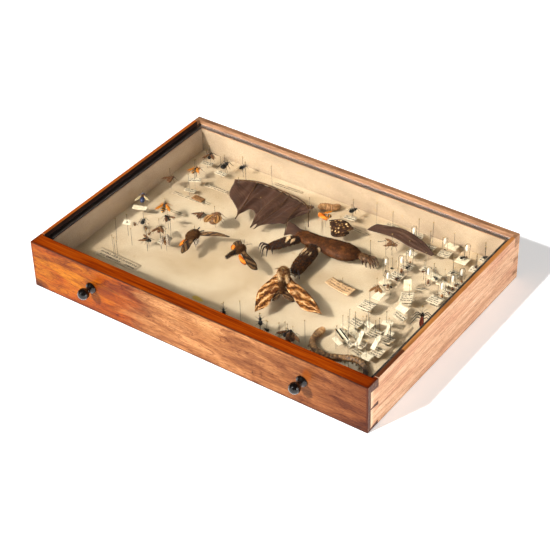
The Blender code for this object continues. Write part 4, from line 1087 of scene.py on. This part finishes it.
print("beetles, bees, wasps and bugs")

# single insects that have a solid of their own
pile = newPile()
cicadaLook = {"parts": [(-9, 1, 5.8, 0.75, 1), (0, 7, 6.6, 0.7, 1), (6, 11, 5.0, 0.6, 1)],
              "wings": [([(4, 3), (1, 8), (-6, 10.5), (-13, 8)], [(3, 1), (-4, 1.2), (-9, 1.6), (-13, 5)], 0,
                         3.2)], "legs": {"reach": 9, "thick": 0.5, "slot": 1, "roots": (6, 4, 2)},
              "feeler": 2.0}
insect(pile, cicadaLook, (-96, 170, 33), 108, 0, -6, 1.0, 0.5)
pin(pile, -97, 172, pinTop, 2, 3)
finishPile(pile, "cicada", "amberWings brownChitin pinSteel brassHead", ["cicada"])

pile = newPile()
insect(pile, waspLook, (-154, 153, 36), 112, 8, 0, 1.05, 0.4)
pin(pile, -153, 154, pinTop, 4, 5)
finishPile(pile, "wasp", "chitin amber banded amber pinSteel brassHead", ["wasp"])

pile = newPile()
blueBeeLook = {"parts": [(-7, 0.5, 3.0, 0.9, 0), (0, 4.5, 3.0, 0.95, 1), (4.2, 6.8, 2.2, 0.85, 0)],
               "wings": [([(2.4, 1.4), (0, 5), (-4, 8), (-7.5, 8.6)],
                          [(1.6, 1.0), (-2, 2.6), (-5, 5.2), (-7.4, 8.0)], 2, 1.6)],
               "legs": {"reach": 5.4, "thick": 0.4, "slot": 0, "roots": (3.4, 2.2, 1)}, "feeler": 2.6}
insect(pile, blueBeeLook, (-183, 151, 39), 122, 10, 0, 1.0, 0.5)
pin(pile, -183, 152, pinTop, 3, 4)
card(pile, -182, 144, 30, 17, 6.5, 20, 0, 12, 0.3, 5, 0.6)
finishPile(pile, "blueBee", "blueMetal mothFur paleWing pinSteel brassHead plainCard", ["blue_bee"])

pile = newPile()
insect(pile, beetle, (-157, 119, 36), 112, 0, 0, 0.95, 0.3)
pin(pile, -157, 120, pinTop, 1, 2)
finishPile(pile, "groundBeetle", "chitin pinSteel brassHead", ["ground_beetle"])

pile = newPile()
stack(pile, wingSheet([(14, 234, 36), (24, 240, 37), (34, 241, 37), (46, 236, 35)],
                      [(22, 224, 35), (28, 218, 35), (34, 214.5, 34), (42, 226, 34)], 0, 2.0, 0.3, 30, 16,
                      0.4), 0, 0.4)
stack(pile, wingSheet([(18, 233, 33), (28, 236, 33), (38, 234, 32.6), (44, 230, 32)],
                      [(24, 222, 32), (29, 216, 32), (36, 217, 31.6), (42, 224, 31)], 0, 1.5, 0.3, 24, 12,
                      0.4), 1, 0.6)
foldedButterflyLook = {"parts": [(-9, 2, 2.4, 0.9, 2), (1, 6, 2.8, 0.9, 2), (5.6, 8, 1.7, 0.9, 2)],
                       "legs": {"reach": 6, "thick": 0.35, "slot": 2, "roots": (4.4, 3, 1.4)}, "feeler": 6}
insect(pile, foldedButterflyLook, (31, 233, 34), 200)
pin(pile, 31, 232, pinTop, 3, 4)
finishPile(pile, "foldedButterfly", "speckledScales brownScales mothFur pinSteel brassHead",
           ["folded_butterfly"])

pile = newPile()
longBugLook = {"parts": [(-15, 1, 2.2, 0.8, 0), (0, 6, 2.0, 0.85, 1), (5.6, 9, 1.4, 0.9, 1)],
               "wings": [([(2, 0.6), (-4, 2.2), (-10, 2.6), (-15, 1.6)],
                          [(1.6, 0.1), (-5, 0.2), (-11, 0.2), (-15, 0.4)], 0, 1.8)],
               "legs": {"reach": 11, "thick": 0.6, "slot": 1, "roots": (5, 3, -1)}, "feeler": 7}
insect(pile, longBugLook, (189, 143, 36), 117, 4, 0, 0.95, 0.5)
pin(pile, 187, 147, pinTop, 2, 3)
finishPile(pile, "longBug", "redChitin chitin pinSteel brassHead", ["long_bug"])

# small insects of the left group, the front row, the right and the back
pile = newPile()
smallOnes = [        # kind, place and height, heading, pitch, size, body finish, tone
    (fly, (-139, 140, 35), 160, 0, 1.15, 0, 0.3), (fly, (-134, 119, 34), 112, 0, 1.25, 1, 0.5),
             (beetle, (-152, 117, 30), 150, 0, 0.5, 1, 0.4),
    (beetle, (-142, 111, 30), 100, 0, 0.55, 1, 0.6), (beetle, (-169, 118, 28), 140, 0, 0.6, 1, 0.6),
             (fly, (-137, 100, 30), 10, 0, 1.15, 0, 0.5),
    # the low dark fly at -123, 178 stands in for a blurred fly-shaped shadow: painted shadow
    (fly, (-123, 178, 23), 75, 0, 1.2, 1, 0.2), (beetle, (-169, 106, 38), 130, 0, 0.26, 0, 0.2),
    (beetle, (55, 46, 38), 128, 62, 0.85, 0, 0.2), (beetle, (13, 40, 36), 130, 62, 0.7, 0, 0.2),
             (beetle, (67, 40, 36), 170, 0, 0.6, 0, 0.2),
    (beetle, (80, 44, 35), 10, 0, 0.5, 0, 0.3), (fly, (88, 47, 36), 80, 0, 1.35, 0, 0.2),
             (fly, (95, 47, 34), 120, 0, 1.3, 1, 0.4),
    (fly, (123, 161, 34), 110, 0, 1.25, 1, 0.8), (beetle, (124, 175, 30), 40, 0, 0.42, 0, 0.2),
             (beetle, (131, 176, 30), 140, 0, 0.36, 0, 0.3),
    (beetle, (129, 192, 30), 70, 0, 0.62, 1, 0.2), (beetle, (128, 215, 30), 70, 0, 0.55, 0, 0.3),
             (beetle, (162, 215, 30), 160, 0, 0.62, 0, 0.3),
    (beetle, (187, 217, 30), 70, 0, 0.6, 1, 0.2), (beetle, (186, 201, 30), 170, 0, 0.5, 1, 0.2),
             (fly, (95, 236, 34), 20, 0, 1.3, 1, 0.6),
    (beetle, (146, 218, 30), 30, 0, 0.5, 1, 0.3), (beetle, (173, 233, 30), 80, 0, 0.5, 0, 0.3),
             (beetle, (115, 204, 30), 10, 0, 0.4, 0, 0.2),
    (fly, (-20, 246, 32), 60, 0, 1.2, 1, 0.3), (waspLook, (5, 240, 35), 200, 0, 0.95, 0, 0.4),
             (beetle, (-150, 262, 33), 95, 0, 1.3, 0, 0.3),
    (beetle, (-172, 236, 33), 80, 0, 1.1, 1, 0.3), (fly, (-176, 268, 33), 110, 0, 1.3, 0, 0.4),
             (beetle, (-130, 270, 33), 75, 0, 0.9, 0, 0.3),
    (waspLook, (-172, 233.5, 34), 100, 0, 0.9, 0, 0.5), (fly, (-186, 205, 33), 80, 0, 1.2, 1, 0.5),
             (beetle, (24, 268, 33), 70, 0, 1.0, 0, 0.2),
    (beetle, (168, 262, 30), 60, 0, 0.6, 0, 0.3), (beetle, (188, 256, 30), 100, 0, 0.5, 1, 0.3),
             (beetle, (188, 276, 30), 60, 0, 0.55, 0, 0.3),
]
for look, at, heading, pitch, size, body, tone in smallOnes:
    chosen = dict(look, parts=[(a, b, r, f, body if s == 0 else s) for a, b, r, f, s in look["parts"]])
    insect(pile, chosen, at, heading, pitch, 0, size, tone)
    if at[2] >= 29:
        pin(pile, at[0], at[1], min(48.0, at[2] + 14), 4, 5)
finishPile(pile, "smallInsects", "chitin brownChitin banded amber pinSteel brassHead", ())
pile = newPile()
# single wings and scraps: red brown wing at the back, a barred wing by the front row
stack(pile, wingSheet([(-3, 240, 37), (3, 238.5, 37.5), (9, 236, 37), (13, 233, 36)],
                      [(0, 233, 36), (5, 232, 36.4), (9, 231.5, 36), (12.4, 231.8, 35.6)], 0, 0.8, 0.3, 16,
                      8), 0, 0.3)
stack(pile, wingSheet([(90, 53, 35), (94, 49, 36), (98, 42, 36), (99, 36, 35)],
                      [(87, 51, 34), (89, 46, 34), (92, 40, 34), (96, 36, 34)], 0, 0.6, 0.3, 16, 8), 1, 0.4)
stack(pile, wingSheet([(84, 50, 35), (84, 45, 36), (83, 41, 36), (81, 38, 35)],
                      [(85, 51, 34), (85, 46, 34), (84, 42, 34), (82, 39, 34)], 0, 0.4, 0.3, 14, 7), 2, 0.9)
finishPile(pile, "looseWings", "orangeScales brownScales paleWing", ())

print("labels, cards, vials and pins")

# labels lying on the lining
pile = newPile()
card(pile, -151, 65, paperZ + 0.35, 58, 13.8, -2, slot=0, tone=0.3, thick=0.2)
finishPile(pile, "nameLabel", "floorInk", ["name_label"])
pile = newPile()
for x, back, wide, deep, turn, tone in ((-158, 201.5, 46, 5.2, 2, 0.7), (-139, 204.5, 20, 4.6, 0, 0.35),
                                        (-142, 234, 34, 5.6, 1, 0.55), (-152.5, 170.5, 28, 5.0, 3, 0.5),
                                        (-73, 280, 40, 5, 3, 0.2), (40, 254, 30, 5, -4, 0.9)):
    card(pile, x, back, paperZ + 0.3, wide, deep, turn, slot=0, tone=tone, thick=0.15)
finishPile(pile, "liningNotes", "floorInk", ())
pile = newPile()
card(pile, 83, 152, 25.5, 33, 12.5, -9, 0, 4, 1.2, slot=0, tone=0.6, thick=0.3)
pin(pile, 85, 154, 36, 1, 2, (-0.5, 0.5))
finishPile(pile, "pinkLabel", "pinkCard pinSteel brassHead", ["pink_label"])

# mounting cards of the right hand group
bigCards = {"cardLower": (127, 136, 30, 15.5, 14.5, -3, 2, 3, 0.3, 0.7, "card_lower"),
            "cardMiddle": (156, 167, 33, 14.5, 16.5, 18, 8, 6, 0.4, 0.4, "card_middle"),
            "cardUpper": (181, 183, 30, 15.5, 12.5, -4, 4, 2, 0.2, 0.9, "card_upper"),
            "cardEdge": (174, 101, 30, 14, 13, -6, 6, -8, 0.5, 0.2, "card_edge")}
for name, (x, back, z, wide, deep, turn, pitch, roll, curl, tone, node) in bigCards.items():
    pile = newPile()
    card(pile, x, back, z, wide, deep, turn, pitch, roll, curl, 0, tone, 0.35)
    card(pile, x + 0.6, back - 0.8, z - 5.5, wide * 0.8, deep * 0.55, turn + 4, pitch * 0.4, roll, 0.2, 0,
         1 - tone, 0.25)
    pin(pile, x + 1.5, back + 2.5, 48, 1, 2)
    finishPile(pile, name, "paleCard pinSteel brassHead", [node])

pile = newPile()
# place, height, width, depth, heading, pitch, roll, curl, finish (0 written, 1 plain), tone
smallCards = [
    (130, 154, 33, 10, 12.5, -8, 4, 14, 0.3, 1, 0.8), (161, 150, 31, 15, 7.5, -16, 8, 20, 0.4, 1, 0.9),
              (164, 140, 29, 15, 8.5, -14, -8, 14, 0.5, 0, 0.5),
    (145, 187, 32, 8.5, 14, 26, 12, 24, 0.5, 1, 0.4), (162, 189, 32, 9.5, 12, -6, 14, -22, 0.4, 0, 0.4),
              (-169, 106, 38, 9, 8, 26, 0, 10, 0.2, 1, 0.9),
    (132, 107, 29, 16, 11, -16, 6, 10, 0.5, 0, 0.5), (126, 102, 25, 14, 9, -14, -4, 8, 0.4, 1, 0.6),
              (146, 110, 31, 13, 6.5, -24, 10, 18, 0.3, 1, 0.9),
    (156, 104, 28, 14, 12, -7, 4, 8, 0.3, 0, 0.5), (153, 82, 36, 4.6, 16.5, 2, 4, 34, 0.1, 1, 0.95),
              (171, 84, 37, 4.8, 17, 3, -6, 30, 0.1, 1, 1.0),
    (170, 108, 39, 2.8, 20, 15, 0, 12, 0.1, 1, 0.9), (153, 82, 27, 13, 9, -12, 6, 10, 0.4, 0, 0.6),
              (174, 82, 27, 13.5, 12, -6, 4, 12, 0.4, 0, 0.5),
    (133, 71, 30, 15, 5.5, -30, 4, 10, 0.3, 1, 0.95), (156, 73, 24, 15, 9, -18, 5, 5, 0.4, 0, 0.3),
              (126, 90, 24, 12, 9, -20, 5, 8, 0.4, 1, 0.4),
    (116, 241, 27, 12, 10, -5, 4, 5, 0.2, 0, 0.6), (123, 199, 26, 15, 12, -10, 4, 8, 0.2, 0, 0.6),
              (124, 221, 26, 15, 11, -6, 4, 8, 0.2, 0, 0.2),
    (157, 221, 26, 15, 11, -8, 4, 8, 0.2, 1, 0.6), (182, 205, 26, 14, 11, -6, 4, 8, 0.2, 0, 0.7),
              (183, 222, 26, 13, 10, -3, 4, 8, 0.2, 1, 0.4),
    (170, 218, 24, 13, 9, -10, 3, 6, 0.2, 1, 0.7), (143, 229, 24, 13, 9, -10, 3, 6, 0.2, 0, 0.7),
              (118, 186, 24, 12, 9, -14, 3, 6, 0.2, 1, 0.5),
    (171, 239, 24, 14, 10, -5, 3, 6, 0.2, 0, 0.3), (126, 262, 26, 14, 11, -6, 4, 6, 0.2, 0, 0.5),
              (146, 262, 26, 14, 11, 4, 4, 6, 0.2, 0, 0.3), (168, 262, 26, 14, 11, -3, 4, 6, 0.2, 1, 0.7),
    (188, 256, 26, 13, 10, 6, 4, 6, 0.2, 0, 0.8), (188, 276, 26, 13, 10, -6, 4, 6, 0.2, 0, 0.4),
              (146, 278, 26, 14, 9, -8, 4, 6, 0.2, 1, 0.6), (104, 274, 26, 15, 10, 7, 4, 6, 0.2, 0, 0.6),
    (72, 272, 27, 16, 10, -4, 4, 6, 0.2, 0, 0.3), (-176, 262, 26, 15, 7, 5, 3, 4, 0.2, 0, 0.5),
              (-150, 254, 26, 15, 7, -5, 3, 4, 0.2, 0, 0.7), (-160, 208, 25, 14, 6, 8, 3, 4, 0.2, 0, 0.3),
    (24, 262, 26, 15, 7, 4, 3, 4, 0.2, 0, 0.6), (-163, 221, 31, 15, 8, 30, 0, 0, 0.1, 0, 0.8),
              (-121.5, 106.5, 31, 8, 7.5, 20, 6, 8, 0.2, 0, 0.5),
              (137, 77, 36, 21, 3.4, -31, 0, 20, 0.2, 1, 1.0),
    (138, 95, 26, 14, 9, -22, 3, 5, 0.3, 1, 0.7), (168, 111, 28, 13, 10, -10, 6, 12, 0.4, 0, 0.8),
              (145, 108, 25, 15, 8, -18, 4, 8, 0.3, 1, 0.8),
    (169, 70, 27, 12, 9, -8, 4, 10, 0.3, 1, 0.8), (141, 78, 25, 13, 8, -20, 4, 6, 0.3, 0, 0.7),
              (160, 123, 30, 12, 7, 12, 4, 6, 0.3, 1, 0.9),
]
for index, (x, back, z, wide, deep, turn, pitch, roll, curl, finish, tone) in enumerate(smallCards):
    card(pile, x, back, z, wide, deep, turn, pitch, roll, curl, finish, tone, 0.3)
    if 5 < index and index != 12:
        pin(pile, x + dice.uniform(-2, 2), back + dice.uniform(-2, 2), 48 if index % 3 else 44, 2, 3)
# a slip barred in black, and a brown block lying on the lining that stands in for a patch of shadow: painted
# shadow
card(pile, 137, 77, 36.6, 20, 1.3, -31, 0, 20, 0.2, 4, 0.2, 0.35)
card(pile, 132, 76, 35, 19, 1.6, -31, 0, 20, 0.2, 4, 0.2, 0.35)
card(pile, -146.5, 205, paperZ + 1.8, 14.5, 7.5, -4, slot=5, tone=0.4, thick=1.6)
card(pile, -117.5, 110, 32.5, 8.5, 9.5, 8, 8, 6, slot=6, tone=0.4, thick=2.4)
finishPile(pile, "mountingCards", "paleCard plainCard pinSteel brassHead chitin grubSkin stripedScales", ())

# clear vials
def turned(centre, radii, sides=26):
    # Level rings of the given radii about a row of centres, closed on a point at each end.
    angle = np.linspace(0, 2 * math.pi, sides, endpoint=False)
    ring = np.stack([np.cos(angle), np.sin(angle), np.zeros(sides)], -1)
    grid = (centre[:, None] + ring[None] * radii[:, None, None]).reshape(-1, 3)
    rows = len(radii)
    points = np.vstack([grid, centre[:1], centre[-1:]])
    j = np.arange(sides)
    k = (j + 1) % sides
    low = np.stack([np.full(sides, len(grid)), k, j], -1)
    high = np.stack([np.full(sides, len(grid) + 1), (rows - 1) * sides + j, (rows - 1) * sides + k], -1)
    return points, gridQuads(rows, sides, True)[:, ::-1], np.vstack([low, high]), np.zeros((len(points), 2))


def vial(pile, x, back, foot, top, radius, lean=(0.0, 0.0), wall=0.6):
    # Profile turned about a leaning axis: out along the foot, up the wall, over a round shoulder;
    # the same again inside.
    turns = np.linspace(0, math.pi / 2, 7)
    outer = [(radius * 0.6, foot), (radius, foot + 0.8)] + [(radius, h)
                                                            for h in np.linspace(foot + 2, top - radius, 6)]
    outer += [(radius * math.cos(t), top - radius + radius * math.sin(t))
              for t in turns[1:-1]] + [(0.25, top)]
    profile = np.array(outer)
    share = (profile[:, 1] - foot) / (top - foot)
    centre = np.stack([x + lean[0] * share, back + lean[1] * share, profile[:, 1]], -1)
    stack(pile, turned(centre, profile[:, 0]))
    hollow = centre.copy()
    hollow[:, 2] = foot + wall + (centre[:, 2] - foot) * (top - foot - 2 * wall) / (top - foot)
    points, quads, triangles, uv = turned(hollow, np.maximum(profile[:, 0] - wall, 0.15))
    stack(pile, (points, quads[:, ::-1], triangles[:, ::-1], uv))


pile = newPile()
for x, back, lean in ((108.5, 201.5, (-1, 1)), (122, 229, (1, 1)), (121, 213, (-1, 1)), (155, 212, (0, 1)),
                      (185, 230, (1, 0)),
                      (183, 215, (0, 1)), (180, 198, (1, 1)), (123, 182, (-1, 1)), (142, 268, (0, 1)),
                      (168, 270, (1, 1)), (104, 266, (0, 1))):
    vial(pile, x, back, paperZ + 0.3, 43.5, 3.1, lean)
finishPile(pile, "clearVials", "vial", ["specimen_tube_1", "specimen_tube_2", "specimen_tube_3"],
           shadow=False)
pile = newPile()
for x, back, tone in ((108.5, 201.5, 0.3), (122, 229, 0.6), (121, 213, 0.5), (155, 212, 0.2), (185, 230, 0.8),
                      (183, 215, 0.4), (180, 198, 0.7), (123, 182, 0.6), (142, 268, 0.3), (168, 270, 0.4),
                      (104, 266, 0.5)):
    stack(pile, bean((x, back, paperZ + 1.6), (x + 0.4, back + 0.3, paperZ + 8), 1.7, 0.9, 10, 9), 0, tone)
    # the pale plugs at the vial tops stand in for glints on the glass: painted highlight
    stack(pile, bean((x, back, 33.5), (x + 0.2, back + 0.4, 41.6), 1.35, 1.0, 14, 12, up=(0, 1, 0)), 1, 0.8)
finishPile(pile, "vialContentsAndGlints", "brownChitin cotton", ())

# bare pins
pile = newPile()
feet = [(-154, 94, 42), (-175, 93, 48), (-133, 95, 47), (-160.5, 70, 46), (-155.5, 67, 46),
        (-150.5, 65.5, 44),
        (26, 51, 48), (14, 37, 48), (54, 46, 48), (69, 40, 48), (84, 49, 48), (100, 61, 48), (91, 42, 47),
        (160, 107, 48), (151, 103, 47), (132, 93, 46), (173, 108, 48), (130, 75, 46), (154, 76, 46),
        (168, 55, 47), (158, 53, 47), (174, 52, 46), (94, 225, 48), (-126, 128, 47), (138, 96, 48),
        (145, 101, 47),
        (-120, 262, 48), (-90, 272, 48), (50, 276, 48), (120, 280, 47)]
for x, back, top in feet:
    pin(pile, x, back, top, 0, 1, (dice.uniform(-0.8, 0.8), dice.uniform(-0.8, 0.8)))
# one pin bent over at its head
stack(pile, tube(smooth([(95, 222, 48), (92, 217, 48.4), (89, 216, 48)], 8), 0.35, 6), 0, 0.5)
finishPile(pile, "loosePins", "pinSteel brassHead", ["bare_pin_1", "bare_pin_2", "bare_pin_3", "bare_pin_4"])

# floor, light and camera

print("floor, light and camera")

studio = {"floorTone": "#FFFFFF", "worldTone": "#FFEEDD", "keyPower": 4.9, "keyAngle": 3.0,
          "keyFrom": (-0.30, -0.73, 0.61),
          "worldFront": 0.10, "worldBack": 0.03, "sidePower": 13.5, "sideFrom": (1.5, -0.3, 0.13),
          "floorGlow": 0.5}

floorMesh = bpy.data.meshes.new("studioFloor")
reach = 6.0
floorMesh.from_pydata([(-reach, -reach, 0), (reach, -reach, 0), (reach, reach, 0), (-reach, reach, 0)], [],
                      [(0, 1, 2, 3)])
floor = bpy.data.objects.new("studioFloor", floorMesh)
bpy.context.scene.collection.objects.link(floor)
floorPaint = newMaterial("mattBackdrop")        # matt seamless paper, nearly white
shade(floorPaint, colour=studio["floorTone"], roughness=0.9, specular=0.1, glow="#FFFFFF",
      glowPower=studio["floorGlow"])
floorMesh.materials.append(floorPaint)


def addLight(name, kind, at, aim, power, size=0.0):
    data = bpy.data.lights.new(name, kind)
    data.energy = power
    if kind == "SUN":
        data.angle = math.radians(size)
    else:
        data.shape, data.size = "DISK", size
    lamp = bpy.data.objects.new(name, data)
    bpy.context.scene.collection.objects.link(lamp)
    lamp.location = at
    lamp.rotation_euler = (Vector(aim) - Vector(at)).to_track_quat("-Z", "Y").to_euler()


keyAt = tuple(2 * v for v in studio["keyFrom"])
addLight("keyLight", "SUN", keyAt, (0, 0, 0), studio["keyPower"], studio["keyAngle"])
addLight("sideFill", "AREA", studio["sideFrom"], (0.2, 0.0, 0.03), studio["sidePower"], 0.35)

world = bpy.data.worlds.new("studioAir")
world.use_nodes = True
# the room is bright before the drawer and dark behind it, so the glass stays clear of haze
toRear = put(world, "SeparateXYZ", put(world, "TexCoord")["Generated"])["Y"]
strength = put(world, "MapRange", toRear, -0.5, 0.35, studio["worldFront"], studio["worldBack"],
               interpolation_type="LINEAR")
join(world, world.node_tree.nodes["Background"].inputs["Color"], studio["worldTone"])
join(world, world.node_tree.nodes["Background"].inputs["Strength"], strength)
bpy.context.scene.world = world

# camera: where it stands, and its right, up and back directions
eye = (0.8556, -1.1616, 1.1214)
lookAlong = np.array([-0.4682, 0.6404, -0.6088])
toRight = np.array([0.8175, 0.5754, -0.0234])
lookAlong /= np.linalg.norm(lookAlong)
toRight -= lookAlong * (toRight @ lookAlong)
toRight /= np.linalg.norm(toRight)
upward = np.cross(toRight, lookAlong)
cameraData = bpy.data.cameras.new("viewCamera")
cameraData.lens, cameraData.sensor_width = 110.0, 36.0
camera = bpy.data.objects.new("viewCamera", cameraData)
bpy.context.scene.collection.objects.link(camera)
camera.matrix_world = Matrix([[toRight[i], upward[i], -lookAlong[i], eye[i]] for i in range(3)]
                             + [[0, 0, 0, 1]])
bpy.context.scene.camera = camera
bpy.context.scene.view_settings.view_transform = "Standard"
